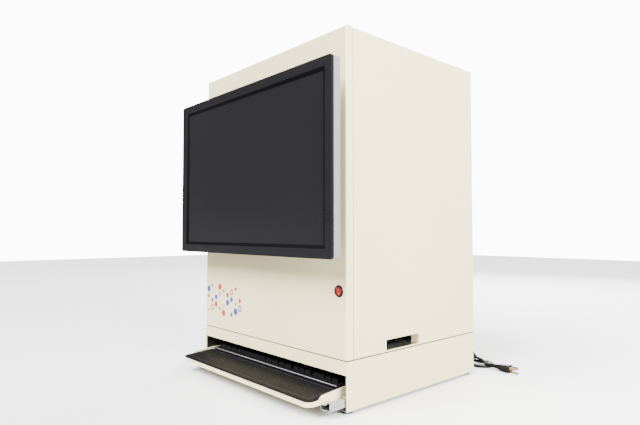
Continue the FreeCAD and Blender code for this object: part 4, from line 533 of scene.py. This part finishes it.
# Turns of the hank: centre of the right fold, radii where each fold starts and ends, layer,
# where along the rear run the strand moves in and where it climbs, as shares of that run
TURNS = [
    {"right": HANK_X1, "fold": (32.5 * MM, OUTER), "left": (OUTER, OUTER), "layer": FIRST_LAYER,
     "rear_to": INNER, "move": (0.6, 0.95), "climb_to": FIRST_LAYER, "climb": (0.2, 0.6)},
    {"right": HANK_X1, "fold": (INNER, INNER), "left": (INNER, INNER), "layer": FIRST_LAYER,
     "rear_to": INNER, "move": (0.1, 0.2), "climb_to": SECOND_LAYER, "climb": (0.05, 0.55)},
    {"right": HANK_X1 - SHORT_TURN, "fold": (INNER, BETWEEN), "left": (BETWEEN, OUTER), "layer": SECOND_LAYER,
     "rear_to": OUTER, "move": (0.1, 0.2), "climb_to": SECOND_LAYER, "climb": (0.1, 0.2)},
]
FOLD_STEPS = 8
RUN_STEPS = 8

# The last strand crosses the fold to the plug
LAST = [(188, 358.6, 9.75), (206, 358.3, 9.75), (221, 350, 9.75), (233.5, 337, 9.75), (245, 324.5, 9.7)]


def ease(share, start, end):
    """Zero before start, one after end, smooth between them."""
    t = min(1, max(0, (share - start) / (end - start)))
    return t * t * (3 - 2 * t)


def fold_points(centre_x, radii, level, start_angle, skip=0):
    """Control points round half a turn, set out so that the curve inside them has the radii."""
    points = []
    for step in range(skip, FOLD_STEPS + 1):
        share = step / FOLD_STEPS
        radius = (radii[0] + (radii[1] - radii[0]) * share) / math.cos(math.pi / FOLD_STEPS / 2) ** 0.5
        turn = start_angle - math.pi * share
        x, y = centre_x + radius * math.cos(turn), HANK_MIDDLE + radius * math.sin(turn)
        points.append(Vector((x, y, level)))
    return points


def hank_points():
    """Control points of the folded hank, turn by turn and layer by layer."""
    points = []
    for index, turn in enumerate(TURNS):
        points += fold_points(turn["right"], turn["fold"], turn["layer"], math.pi / 2, skip=0 if index else 2)
        front = HANK_MIDDLE - turn["fold"][1]
        for share in (0.3, 0.7):
            points.append(Vector((turn["right"] + (HANK_X0 - turn["right"]) * share, front, turn["layer"])))
        points += fold_points(HANK_X0, turn["left"], turn["layer"], -math.pi / 2)
        last = index == len(TURNS) - 1
        end_x = LAST[0][0] * MM if last else TURNS[index + 1]["right"]
        for step in range(1, RUN_STEPS):
            share = step / RUN_STEPS
            reach = turn["left"][1] + (turn["rear_to"] - turn["left"][1]) * ease(share, *turn["move"])
            level = turn["layer"] + (turn["climb_to"] - turn["layer"]) * ease(share, *turn["climb"])
            points.append(Vector((HANK_X0 + (end_x - HANK_X0) * share, HANK_MIDDLE + reach, level)))
    return points


def make_cord():
    """One smooth line from the connector down to the table, round the hank and to the plug."""
    plug_start = Vector((low("mains_plug").x, PLUG_LINE, middle("mains_plug").z))
    points = [Vector(p) * MM for p in FALL] + hank_points() + [Vector(p) * MM for p in LAST]
    points += [plug_start + Vector((-6 * MM, 1.2 * MM, 0.1 * MM)), plug_start + Vector((2 * MM, 0, 0))]
    curve = bpy.data.curves.new("mains_cord", "CURVE")
    curve.dimensions = "3D"
    curve.resolution_u = 8
    curve.bevel_depth = CORD
    curve.bevel_resolution = 4
    line = curve.splines.new("NURBS")
    line.points.add(len(points) - 1)
    for place, point in zip(line.points, points):
        place.co = (*point, 1)
    line.order_u = 3
    line.use_endpoint_u = True
    cord = thing("mains_cord", curve, cord_jacket)
    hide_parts("cord_tube", "cord_hank")
    return cord


def ribbed(rings, root, growth, start, length, rib, depth):
    """Outline of a relief: ribs parted by grooves, from a root radius that grows or shrinks."""
    outline = []
    for ring in range(rings):
        radius = root + growth * ring / rings
        at = start + length * ring / rings
        outline += [(radius, at), (radius, at + rib), (radius - depth, at + rib + 0.3 * MM),
                    (radius - depth, at + rib + MM)]
    return outline


def make_connector():
    """Moulded connector: a grip with a narrower nose, and a ribbed, tapered relief."""
    lo, hi = low("cord_connector"), high("cord_connector")
    x, z = (lo.x + hi.x) / 2, (lo.z + hi.z) / 2
    face = high("power_inlet").y
    grip_end = EXIT.y - RELIEF_LENGTH
    nose = Vector((1.7, 0, 2.1)) * MM

    def build(work):
        add_block(work, Vector((lo.x, face - 15.5 * MM, lo.z)) + nose,
                  Vector((hi.x, face + 1 * MM, hi.z)) - nose)
        add_block(work, (lo.x, face, lo.z), (hi.x, grip_end, hi.z))
    grip = shape("connector_grip", build, cord_jacket, smooth=True, bevel=2.4 * MM, segments=4)

    def relief(work):
        ribs = ribbed(7, 6.4 * MM, -2.6 * MM, 0, 26 * MM, 2.4 * MM, 1.1 * MM)
        outline = [(6.6 * MM, -2 * MM), *ribs, (3.4 * MM, RELIEF_LENGTH)]
        add_lathe(work, outline, (x, grip_end, z), (0, 1, 0), 32)
    sleeve = shape("connector_relief", relief, cord_jacket)
    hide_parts("cord_connector")
    return [grip, sleeve]


def make_plug():
    """Three-pin plug: waisted body with a grip recess, ribbed relief, two blades and an earth pin."""
    lo, hi = low("mains_plug"), high("mains_plug")
    y, z = middle("mains_plug").y, middle("mains_plug").z
    half_y, half_z = (hi.y - lo.y) / 2, (hi.z - lo.z) / 2
    body_start = lo.x + 22 * MM
    # Share of the length, then shares of the full width and height
    sections = [(0.0, 0.55, 0.62), (0.12, 0.72, 0.78), (0.34, 0.80, 0.82), (0.55, 0.84, 0.86),
                (0.72, 0.98, 0.99), (0.80, 1.0, 1.0), (1.0, 1.0, 1.0)]
    corner_steps = 28
    squareness = 0.55

    def build(work):
        rings = []
        for share, wide, tall in sections:
            ring = []
            for step in range(corner_steps):
                turn = 2 * math.pi * step / corner_steps
                cosine, sine = math.cos(turn), math.sin(turn)
                ring.append(work.verts.new((
                    body_start + (hi.x - body_start) * share,
                    y + half_y * wide * math.copysign(abs(cosine) ** squareness, cosine),
                    z + half_z * tall * math.copysign(abs(sine) ** squareness, sine))))
            rings.append(ring)
        skin(work, rings)
    body = shape("plug_moulding", build, cord_jacket, smooth=True, bevel=0.8 * MM, segments=3)

    def relief(work):
        ribs = ribbed(6, 4.2 * MM, 1.8 * MM, 1 * MM, 20 * MM, 2 * MM, 0.9 * MM)
        add_lathe(work, [(3.5 * MM, 0), *ribs, (6 * MM, 23 * MM)], (lo.x, y, z), (1, 0, 0), 32)
    sleeve = shape("plug_relief", relief, cord_jacket)
    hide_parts("mains_plug")
    return [body, sleeve]


def make_tie():
    """Grey strap round the end of the fold, twisted together on top."""
    x1 = high("cord_tie").x
    y = middle("cord_tie").y
    strap = Finish("strap_grey", (0.30, 0.30, 0.31), 0.5)
    strap.mottle(strap.noise(300, 2), (0.42, 0.42, 0.43))
    material = strap.bump(strap.noise(900, 2), 0.00008).material
    inner_x = HANK_X1 + INNER - CORD - 0.9 * MM

    def build(work):
        path = [(inner_x, y, 0.6 * MM), (inner_x, y, 5 * MM), (inner_x + 3 * MM, y, 7.6 * MM),
                (x1 - 6 * MM, y, 7.6 * MM), (x1 - 2 * MM, y, 6 * MM), (x1 - 0.8 * MM, y, 3 * MM),
                (x1 - 0.8 * MM, y, 0.6 * MM)]
        for offset in (-3 * MM, -1.5 * MM, 0, 1.5 * MM, 3 * MM):
            add_tube(work, [(px, py + offset, pz) for px, py, pz in path], 0.8 * MM, 8)
        for way in (MM, -MM):
            add_tube(work, [(x1 - 10 * MM, y + 2 * way, 8 * MM), (x1 - 9 * MM, y + 7 * way, 10 * MM),
                            (x1 - 6 * MM, y + 11 * way, 8.6 * MM)], 0.9 * MM, 8)
    tie = shape("hank_tie", build, material, smooth=True)
    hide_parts("cord_tie")
    return tie


# Palm rest
LIP_HEIGHT = 9 * MM
PAD_ROLL = 5 * MM
PAD_CROWN = 2.0 * MM
PAD_OVER = 1.5 * MM
PAD_CORNER = 12.9 * MM
PAD_REAR_CORNER = 2 * MM
SEAM_INSET = 9 * MM
SIDE_POINTS = 10
FRONT_POINTS = 56
STITCH_PITCH = 4.6 * MM
CROWN_INSETS = (6.5, 7.8, 9, 10.2, 11.5, 14, 17, 21, 25, 29, 33, 36.5, 38.6)


def rounded_ring(half_x, y0, y1, inset, front_radius, rear_radius):
    """Points of a rectangle with rounded corners, moved inward by inset."""
    least = inset + 0.4 * MM
    points = []
    corners = ((1, y0, front_radius, -90), (1, y1, rear_radius, 0), (-1, y1, rear_radius, 90),
               (-1, y0, front_radius, 180))
    for index, (side, y, radius, start) in enumerate(corners):
        inward = 1 if y == y0 else -1
        keep = max(radius, least)
        centre = Vector((side * (half_x - keep), y + inward * keep))
        for step in range(7):
            turn = math.radians(start + 15 * step)
            points.append(centre + Vector((math.cos(turn), math.sin(turn))) * (keep - inset))
        after = corners[(index + 1) % 4]
        way = 1 if after[1] == y0 else -1
        keep_after = max(after[2], least)
        centre_after = Vector((after[0] * (half_x - keep_after), after[1] + way * keep_after))
        turn = math.radians(after[3])
        target = centre_after + Vector((math.cos(turn), math.sin(turn))) * (keep_after - inset)
        start_point = points[-1].copy()
        along_side = abs(target.x - start_point.x) < abs(target.y - start_point.y)
        count = SIDE_POINTS if along_side else FRONT_POINTS
        for step in range(1, count):
            points.append(start_point.lerp(target, step / count))
    return points


def make_palm_rest():
    """Foam pad in leatherette: rolled edge over the lip, welt along the seam, one line of stitches."""
    lo, hi = low("palm_rest"), high("palm_rest")
    lip_top = low("drawer_tray").z + LIP_HEIGHT
    half_x = hi.x
    half_y = (hi.y - lo.y) / 2
    front_z, rear_z = hi.z - 6.2 * MM, hi.z - 1.2 * MM

    # Heights along the pad's depth: the foot of the crown and the welt; over is the roll past the lip
    def base(y):
        return front_z + (rear_z - front_z) * (y - lo.y) / (hi.y - lo.y)

    def over(y):
        return PAD_OVER * (1 - ease(y - lo.y, 12 * MM, 22 * MM))

    def edge(y):
        return max(base(y) - 3.6 * MM, lip_top + 0.9 * MM)

    def top(point, inset):
        """Crowned top with the valley of the stitched seam and soft dents."""
        reach = (inset - PAD_ROLL) / (half_y - PAD_ROLL)
        valley = 0.5 * MM * math.exp(-((inset - SEAM_INSET) / (1.6 * MM)) ** 2)
        soft = noise.noise(Vector((point.x, point.y, 0)) * 30) * 0.35 * MM
        fine = noise.noise(Vector((point.x + 3, point.y, 0)) * 95) * 0.14 * MM
        crown = PAD_CROWN * (1 - (1 - reach) ** 2)
        return base(point.y) + crown - valley + (soft + fine) * min(1, reach * 6 + 0.3)

    def ring_at(inset, height, with_over=True):
        ring = []
        for point in rounded_ring(half_x, lo.y, hi.y, inset, PAD_CORNER, PAD_REAR_CORNER):
            shift = over(point.y) if with_over else 0
            ahead = shift if point.y < lo.y + PAD_CORNER else 0
            ring.append(Vector((point.x * (1 + shift / half_x), point.y - ahead, height(point, inset))))
        return ring

    rings = [ring_at(0.3 * MM, lambda p, d: lo.z + 0.3 * MM, False),
             ring_at(0.2 * MM, lambda p, d: min(edge(p.y), lip_top + 0.4 * MM) - 0.6 * MM, False),
             ring_at(0, lambda p, d: edge(p.y))]
    for step in range(1, 7):
        turn = math.pi / 2 * step / 6
        inset = PAD_ROLL * (1 - math.cos(turn))
        rings.append(ring_at(inset, lambda p, d, t=turn: edge(p.y) + (base(p.y) - edge(p.y)) * math.sin(t)))
    for inset in CROWN_INSETS:
        rings.append(ring_at(inset * MM, top, False))

    def build(work):
        skin(work, [[work.verts.new(point) for point in ring] for ring in rings])
    cover = leatherette()
    pad = shape("palm_pad", build, cover, "drawer", smooth=True)
    soft = pad.modifiers.new("soft_cover", "SUBSURF")
    soft.levels = 1
    soft.render_levels = 1
    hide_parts("palm_rest")

    welt_ring = [point + Vector((0, 0, 0.1 * MM)) for point in rings[2]]
    welt = shape("palm_welt", lambda work: add_tube(work, welt_ring, 0.95 * MM, 8, closed=True), cover,
                 "drawer", smooth=True)

    line = ring_at(SEAM_INSET, top, False)
    line.append(line[0])
    # One stitch: distance along the seam and height over it
    thread_path = ((0, -0.2), (0.8, 0.35), (2.4, 0.35), (3.2, -0.2))

    def stitch(work):
        ahead = 0.0
        for start, end in zip(line, line[1:]):
            length = (end - start).length
            while ahead < length:
                a = start.lerp(end, ahead / length)
                way = (end - start).normalized()
                path = [a + way * (reach * MM) + Vector((0, 0, rise * MM)) for reach, rise in thread_path]
                add_tube(work, path, 0.28 * MM, 5)
                ahead += STITCH_PITCH
            ahead -= length
    thread = Finish("black_thread", (0.03, 0.03, 0.032), 0.6)
    thread.mottle(thread.noise(2500, 2), (0.05, 0.05, 0.052))
    stitches = shape("palm_stitches", stitch, thread.bump(thread.noise(4000, 2), 0.00005).material, "drawer",
                     smooth=True)
    return pad


# Keyboard
KEYBOARD_FRONT = 18 * MM
KEY_TILT = math.radians(6)
LETTER_SIZE = 4.6 * MM
WORD_SIZE = 2.7 * MM
KEY_PITCH = 19.05 * MM
KEYS_ACROSS = 22.5
KEYS_LEFT = -KEYS_ACROSS * KEY_PITCH / 2
KEY_TOP = 8 * MM
KEY_MARGIN = 12 * MM
ROW_GAP = 8 * MM
NAV_KEYS = 15.25
PAD_KEYS = 18.5


def on_keyboard():
    """From the keyboard's own flat plane to its tilted place in the drawer."""
    lo = low("keyboard_case")
    return Matrix.Translation((0, lo.y, lo.z + KEYBOARD_FRONT)) @ Matrix.Rotation(KEY_TILT, 4, "X")


def make_keyboard_edge_highlight():
    """Painted highlight: a pale grey rod along the front edge of the keyboard, where its gloss catches the
    light.
    """
    turn = on_keyboard()
    half = high("keyboard_case").x - 5 * MM

    def build(work):
        path = [turn @ Vector((x, 1.4 * MM, 0.15 * MM)) for x in (-half, -half / 2, 0, half / 2, half)]
        add_tube(work, path, 0.75 * MM, 10)
    highlight_grey = moulded("edge_highlight_grey", (0.30, 0.30, 0.31), 0.35, 2600, 0.00001)
    piece = shape("keyboard_edge_highlight", build, highlight_grey, "drawer", smooth=True)


def row_run(start, labels, widths):
    """Keys side by side from a start, each with its label and width in key pitches."""
    keys = []
    for label, width in zip(labels, widths):
        keys.append((label, start, width))
        start += width
    return keys


LEGENDS = {
    "space": row_run(0, ["Ctrl", "Fn", "Alt", "", "Alt", "Fn", "Menu", "Ctrl"],
                     [1.25] * 3 + [6.25] + [1.25] * 4)
    + row_run(NAV_KEYS, "<v>", [1] * 3) + row_run(PAD_KEYS, ["0", ".", "Ent"], [2, 1, 1]),
    "shift": row_run(0, ["Shift", *"ZXCVBNM,./", "Shift"], [2.25] + [1] * 10 + [2.75])
    + row_run(NAV_KEYS + 1, "^", [1]) + row_run(PAD_KEYS, ["1", "2", "3", "Ent"], [1] * 4),
    "home": row_run(0, ["Caps", *"ASDFGHJKL;'", "Enter"], [1.75] + [1] * 11 + [2.25])
    + row_run(PAD_KEYS, "456+", [1] * 4),
    "tab": row_run(0, ["Tab", *"QWERTYUIOP[]", "Back"], [1.5] + [1] * 12 + [1.5])
    + row_run(NAV_KEYS, ["Del", "End", "PgDn"], [1] * 3) + row_run(PAD_KEYS, "789+", [1] * 4),
    "number": row_run(0, [*"`1234567890-=", "Back"], [1] * 13 + [2])
    + row_run(NAV_KEYS, ["Ins", "Home", "PgUp"], [1] * 3)
    + row_run(PAD_KEYS, ["Num", "/", "*", "-"], [1] * 4),
    "function": row_run(0, ["Esc"], [1]) + row_run(2, ["F1", "F2", "F3", "F4"], [1] * 4)
    + row_run(6.5, ["F5", "F6", "F7", "F8"], [1] * 4) + row_run(11, ["F9", "F10", "F11", "F12"], [1] * 4)
    + row_run(NAV_KEYS, ["Prt", "Scr", "Brk"], [1] * 3),
}


def make_legends():
    """Printed legends on the key caps, one mesh for each row so that it moves with the row."""
    ink = Finish("legend_ink", (0.42, 0.42, 0.43), 0.5)
    ink.mottle(ink.noise(400, 3), (0.33, 0.33, 0.34))
    turn = on_keyboard()
    for index, (row, keys) in enumerate(LEGENDS.items()):
        y = KEY_MARGIN + (index + 0.5) * KEY_PITCH + (ROW_GAP if row == "function" else 0)
        merged = bmesh.new()
        for label, start, width in keys:
            if not label:
                continue
            curve = bpy.data.curves.new("legend", "FONT")
            curve.body = label
            curve.size = LETTER_SIZE if len(label) == 1 else WORD_SIZE
            curve.align_x = "CENTER"
            curve.align_y = "CENTER"
            curve.resolution_u = 2
            holder = bpy.data.objects.new("legend", curve)
            mesh = bpy.data.meshes.new_from_object(holder)
            x = KEYS_LEFT + (start + width / 2) * KEY_PITCH
            lean = 1.6 * MM if len(label) == 1 else 2.4 * MM
            mesh.transform(turn @ Matrix.Translation((x, y + lean, KEY_TOP + 0.03 * MM)))
            merged.from_mesh(mesh)
            bpy.data.objects.remove(holder)
            bpy.data.meshes.remove(mesh)
            bpy.data.curves.remove(curve)
        mesh = bpy.data.meshes.new("legends_" + row)
        merged.to_mesh(mesh)
        merged.free()
        piece = thing("legends_" + row, mesh, ink.material, "keys_" + row, smooth=False)


# Monitor
def frame_loft(work, loops):
    """Rectangular rings, each (half width, bottom, top, y), joined one to the next."""
    rings = []
    for half, bottom, top, y in loops:
        corners = ((-half, y, bottom), (half, y, bottom), (half, y, top), (-half, y, top))
        rings.append([work.verts.new(corner) for corner in corners])
    skin(work, rings, ends=False)


def make_screen_surround():
    """Black inner frame that slopes from the bezel down to the panel, with a fine line round the casing."""
    bezel_lo, bezel_hi = low("monitor_bezel"), high("monitor_bezel")
    screen_y = low("monitor_screen").y
    half = bezel_hi.x - 20 * MM
    bottom, top = bezel_lo.z + 18 * MM, bezel_hi.z - 18 * MM
    black = moulded("surround_black", (0.0012, 0.0012, 0.0014), 0.55, 3000, 0.00001)
    # Inset from the rim of the opening and depth from the bezel's face or the panel
    steps = ((0.05 * MM, bezel_lo.y + 1.7 * MM), (2.0 * MM, bezel_lo.y + 2.6 * MM),
             (6.5 * MM, screen_y - 0.5 * MM), (7.0 * MM, screen_y - 0.1 * MM))
    black.node_tree.nodes["Principled BSDF"].inputs["Specular IOR Level"].default_value = 0.06

    def slope(work):
        frame_loft(work, [(half - inset, bottom + inset, top - inset, y) for inset, y in steps])
    piece = shape("screen_surround", slope, black, bevel=0.3 * MM)

    seam_y = low("monitor_case").y
    outer = bezel_hi.x

    def seam(work):
        corner = 6 * MM
        path = []
        for sx, sz, start in ((1, 1, 0), (-1, 1, 90), (-1, -1, 180), (1, -1, 270)):
            edge_z = bezel_hi.z if sz > 0 else bezel_lo.z
            centre = Vector((sx * (outer - corner), seam_y, edge_z - sz * corner))
            for step in range(7):
                turn = math.radians(start + 15 * step)
                path.append(centre + Vector((math.cos(turn), 0, math.sin(turn))) * corner)
        add_tube(work, path, 0.22 * MM, 6, closed=True)
    line = shape("casing_line", seam, black, smooth=True)


def make_monitor_back():
    """Vent slots in the upper slope of the casing, drawn as near black rods sunk in it as painted shade, and
    four screws at its corners.
    """
    case_lo, case_hi = low("monitor_case"), high("monitor_case")
    centre_z = (case_lo.z + case_hi.z) / 2
    root = Vector((0, case_lo.y + 16 * MM, centre_z + 145 * MM))
    back = Vector((0, case_hi.y, centre_z + 95 * MM))
    down = (back - root).normalized()
    out = Vector((0, -down.z, down.y))
    # Painted shade: near black rods stand for the shade inside the open slots
    painted_shade = moulded("vent_slot_shade", (0.01, 0.01, 0.01), 0.7, 1500)
    slot_length, slot_pitch, sunk = 24 * MM, 7 * MM, 0.75 * MM

    def vents(work):
        for column in range(-13, 14):
            start = root + down * 16 * MM + Vector((column * slot_pitch, 0, 0)) - out * sunk
            add_tube(work, [start, start + down * slot_length], 1.1 * MM, 10)
    slots = shape("casing_vents", vents, painted_shade, smooth=True)

    def screws(work):
        for sx in (-1, 1):
            for sz in (-1, 1):
                spot = Vector((sx * 105 * MM, case_hi.y, centre_z + sz * 80 * MM))
                head = [(3.4 * MM, -0.2 * MM), (3.4 * MM, 0.25 * MM), (2.8 * MM, 0.3 * MM),
                        (2.6 * MM, 0.1 * MM)]
                add_lathe(work, head, spot, (0, 1, 0), 24)
                add_cross(work, spot, 1.5 * MM, 0.35 * MM, 0.1 * MM, 0.16 * MM)
    heads = shape("casing_screws", screws, black_anodised)


# Front panel print
def vinyl(name, colour):
    """Printed film: even colour, slight fade and a faint grain."""
    film = Finish(name, colour, 0.34)
    film.mottle(film.noise(60, 3), darker(colour, 0.88))
    film.rough(film.noise(300, 2), 0.05)
    return film.bump(film.noise(2400, 1), 0.00001).material


def make_decal():
    """A plain ornament: a band of small hexagons, some open, in two colours."""
    red = vinyl("print_red", (0.50, 0.030, 0.008))
    blue = vinyl("print_blue", (0.022, 0.040, 0.42))
    left, right = -245 * MM, -94 * MM
    bottom = 139 * MM
    pitch = 18 * MM
    columns, rows = int((right - left) / pitch) + 1, 4
    smallest, growth, open_share = 3.8 * MM, 5.4 * MM, 0.55
    film_y = FRONT_Y - 0.06 * MM

    def hexagon(work, x, z, radius, hole):
        centre = Vector((x, film_y, z))
        turns = [math.radians(60 * k) for k in range(6)]
        outer = [centre + Vector((math.cos(turn), 0, math.sin(turn))) * radius for turn in turns]
        if not hole:
            work.faces.new([work.verts.new(p) for p in outer])
            return
        rim = [work.verts.new(p) for p in outer]
        inner = [work.verts.new(centre + (p - centre) * hole) for p in outer]
        bridge(work, rim, inner)

    def fill(parity):
        def build(work):
            for column in range(columns):
                for row in range(rows):
                    gap = (column + 2 * row) % 3 == 2
                    if gap or (column // 2 + row) % 2 != parity:
                        continue
                    x = left + column * pitch
                    z = bottom + (row + (column % 2) / 2) * pitch
                    radius = smallest + growth * abs(math.sin(1.1 * column + 1.7 * row))
                    hexagon(work, x, z, radius, open_share if (column + row) % 4 == 1 else 0)
        return build
    for name, material, parity in (("print_first", red, 0), ("print_second", blue, 1)):
        piece = shape(name, fill(parity), material)


# Rear
GUARD_RINGS = (14 * MM, 28 * MM, 42 * MM)
GUARD_SCREWS = 57.5 * MM
EAR = 3.2 * MM
EAR_NECK = 8 * MM


def make_fan_guard():
    """Bent wire guard: rings on two crossing wires, and ears under four cross-head screws."""
    centre = Vector((middle("fan_guard").x, 0, middle("fan_guard").z))
    wire = 1 * MM
    ring_y = REAR_Y + 2.4 * MM
    bar_y = REAR_Y + 1.05 * MM
    half = high("fan_guard").x - centre.x

    def at(radius, degrees, y):
        turn = math.radians(degrees)
        return Vector((centre.x + radius * math.cos(turn), y, centre.z + radius * math.sin(turn)))

    def build(work):
        for radius in GUARD_RINGS:
            add_tube(work, [at(radius, turn, ring_y) for turn in range(0, 360, 5)], wire, 8, closed=True)
        for way in (Vector((half, 0, 0)), Vector((0, 0, half))):
            add_tube(work, [at(0, 0, bar_y) + way * share for share in (-1, 0, 1)], wire, 8)
        for corner in range(45, 405, 90):
            screw = at(GUARD_SCREWS, corner, bar_y)
            out = (screw - at(0, corner, bar_y)).normalized()
            side = Vector((-out.z, 0, out.x))
            path = [at(GUARD_RINGS[-1], corner - 7, ring_y), screw - out * EAR_NECK - side * EAR]
            for step in range(9):
                turn = math.radians(-90 + 22.5 * step)
                path.append(screw + (out * math.cos(turn) + side * math.sin(turn)) * EAR)
            path += [screw - out * EAR_NECK + side * EAR, at(GUARD_RINGS[-1], corner + 7, ring_y)]
            add_tube(work, path, wire * 0.9, 8)
    guard = shape("wire_guard", build, bright_wire, smooth=True)
    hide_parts("fan_guard")

    def screws(work):
        head = [(3.9 * MM, 1.8 * MM), (3.9 * MM, 2.2 * MM), (3.2 * MM, 3.0 * MM), (1.8 * MM, 3.3 * MM)]
        for corner in range(45, 405, 90):
            spot = at(GUARD_SCREWS, corner, REAR_Y)
            add_lathe(work, head, spot, (0, 1, 0), 24)
            add_cross(work, spot, 1.9 * MM, 0.4 * MM, 3.0 * MM, 3.36 * MM)
    heads = shape("guard_screws", screws, steel_sheet)


VENT_OFFSET = 120 * MM
VENT_COUNT = 11
VENT_PITCH = 11 * MM
VENT_DROP = 146 * MM
HOOD_WIDTH = 76 * MM


def make_louvres():
    """Pressed hoods over the slots of both vent banks."""
    lowest = high("rear_panel").z - VENT_DROP
    # Reach from the panel and height over the slot, in millimetres
    profile = [(0.0, 2.2), (1.2, 1.9), (2.3, 0.9), (3.0, -0.8), (3.2, -2.6), (3.2, -3.6)]
    # Share of the width and share of the full reach
    stations = ((0.0, 0.0), (0.012, 0.45), (0.03, 0.8), (0.06, 1.0),
                (0.94, 1.0), (0.97, 0.8), (0.988, 0.45), (1.0, 0.0))

    def build(work):
        for x_middle in (-VENT_OFFSET, VENT_OFFSET):
            for index in range(VENT_COUNT):
                foot = Vector((x_middle, REAR_Y + 0.1 * MM, lowest + index * VENT_PITCH))
                rows = []
                for share, swell in stations:
                    side = (share - 0.5) * HOOD_WIDTH
                    rows.append([work.verts.new(foot + Vector((side, reach * swell * MM, rise * MM)))
                                 for reach, rise in profile])
                for near, far in zip(rows, rows[1:]):
                    bridge(work, near, far, closed=False)
    hoods = shape("louvre_hoods", build, paint, smooth=True)
    wall = hoods.modifiers.new("sheet", "SOLIDIFY")
    wall.thickness = 0.7 * MM
    wall.offset = -1


def make_ports():
    """Connectors of the computer, seen through the window of the rear panel."""
    face = REAR_Y - 2 * MM
    x_left, x_right = -105 * MM, 65 * MM
    z_low = high("computer_shelf").z + 12 * MM
    video_x = -17 * MM
    stack_xs = (35.5 * MM, 8 * MM)
    nickel = zinc("port_nickel", (0.62, 0.62, 0.61), 0.26)
    # Near black: painted shade at the bottom of each port opening, and the black plastic of the tongues
    hole = moulded("port_hole_shade_and_tongue", (0.006, 0.006, 0.006), 0.6)
    shells, holes, tongues = [], [], []

    def port(x, z, wide, tall, proud=2.2, wall=0.45):
        shells.append((x, z, wide, tall, proud * MM, wall * MM))
        holes.append((x, z, wide - 2 * wall * MM, tall - 2 * wall * MM))

    def panel(work, x, z, wide, tall, near, far):
        """A block over a rectangle of the port plate, between two depths."""
        add_block(work, (x - wide / 2, face + near, z - tall / 2), (x + wide / 2, face + far, z + tall / 2))

    def plate(work):
        add_block(work, (x_left + 2 * MM, face, z_low + 2 * MM),
                  (x_right - 2 * MM, face + 0.5 * MM, z_low + 44 * MM))
        for x in range(-96, 60, 12):
            panel(work, (x + 3.5) * MM, z_low + 4 * MM, 7 * MM, 1.2 * MM, 0.4 * MM, 0.8 * MM)
    shield = shape("port_shield", plate, nickel, bevel=0.2 * MM)

    for x in (44, 27):
        for z in (8.5, 16.5):
            port(x * MM, z_low + z * MM, 13.4 * MM, 5.6 * MM)
            tongues.append((x * MM, z_low + (z + 0.6) * MM, 9.6 * MM, 1.5 * MM))
    for x in stack_xs:
        port(x, z_low + 33 * MM, 16 * MM, 14 * MM)
    port(video_x, z_low + 12 * MM, 31 * MM, 10.5 * MM, 4.2)
    port(video_x, z_low + 32 * MM, 37 * MM, 9.5 * MM, 3.6)

    def shell_walls(work):
        for x, z, wide, tall, proud, wall in shells:
            for way in (-1, 1):
                panel(work, x, z + way * (tall - wall) / 2, wide, wall, 0.4 * MM, proud)
            for way in (-1, 1):
                panel(work, x + way * (wide - wall) / 2, z, wall, tall - 2 * wall, 0.4 * MM, proud)
    walls = shape("port_shells", shell_walls, nickel, bevel=0.12 * MM)

    # Painted shade at the back of each opening, and the tongues in their own black
    def hole_faces(work):
        for hollow in holes:
            panel(work, *hollow, 0.45 * MM, 0.6 * MM)
        for tongue in tongues:
            panel(work, *tongue, 0.5 * MM, 2.0 * MM)
    insides = shape("port_insides", hole_faces, hole)

    blue = moulded("port_blue", (0.02, 0.07, 0.30), 0.45)

    def display(work):
        panel(work, video_x, z_low + 12 * MM, 16 * MM, 7 * MM, 0.5 * MM, 5.2 * MM)
    socket = shape("display_socket", display, blue, bevel=1.4 * MM, segments=4)

    def nuts(work):
        outline = [(2.6 * MM, 0.4 * MM), (2.6 * MM, 4.4 * MM), (1.5 * MM, 4.4 * MM), (1.5 * MM, 1.0 * MM)]
        for offset in (-12.2 * MM, 12.2 * MM):
            add_lathe(work, outline, (video_x + offset, face, z_low + 12 * MM), (0, 1, 0), 6)
    posts = shape("display_nuts", nuts, nickel)

    jack_outline = [(5.6 * MM, 0.4 * MM), (5.6 * MM, 1.6 * MM), (4.2 * MM, 2.4 * MM), (2.0 * MM, 2.4 * MM),
                    (1.8 * MM, 0.7 * MM)]
    for name, colour, z in (("jack_rose", (0.50, 0.12, 0.18), 9), ("jack_green", (0.06, 0.34, 0.10), 22),
                            ("jack_blue", (0.07, 0.22, 0.42), 35)):
        tint = moulded(name, colour, 0.45)
        for column in (-52, -68):
            def jack(work, x=column, height=z):
                add_lathe(work, jack_outline, (x * MM, face, z_low + height * MM), (0, 1, 0), 28)
            ring = shape("%s_%d" % (name, -column), jack, tint, smooth=False)


# Mains switch
ROCKER_LEAN = math.radians(8)
MARK_SIZE = 1.5 * MM
MARK_OFFSET = 4.2 * MM


def make_switch_marks():
    """Moulded on and off marks on the rocker's two halves."""
    pivot = Vector((middle("switch_housing").x, FRONT_Y + 1.4 * MM, middle("switch_housing").z))
    turn = Matrix.Translation(pivot) @ Matrix.Rotation(ROCKER_LEAN, 4, "X")
    face = -2.92 * MM

    def build(work):
        ring = []
        for degrees in range(0, 360, 20):
            angle = math.radians(degrees)
            ring.append(turn @ Vector((MARK_SIZE * math.cos(angle), face - 0.05 * MM,
                                       MARK_SIZE * math.sin(angle) - MARK_OFFSET)))
        add_tube(work, ring, 0.22 * MM, 6, closed=True)
        bar = [turn @ Vector((0, face + share * 0.14 * MM, MARK_OFFSET + share * MARK_SIZE))
               for share in (-1, 0, 1)]
        add_tube(work, bar, 0.24 * MM, 6)
    pale = moulded("mark_white", (0.55, 0.50, 0.48), 0.4)
    marks = shape("rocker_marks", build, pale, "rocker", smooth=True)


cord = make_cord()
connector = make_connector()
plug = make_plug()
tie = make_tie()

make_palm_rest()
make_keyboard_edge_highlight()
make_legends()
make_screen_surround()
make_monitor_back()
make_decal()
make_fan_guard()
make_louvres()
make_ports()
make_switch_marks()
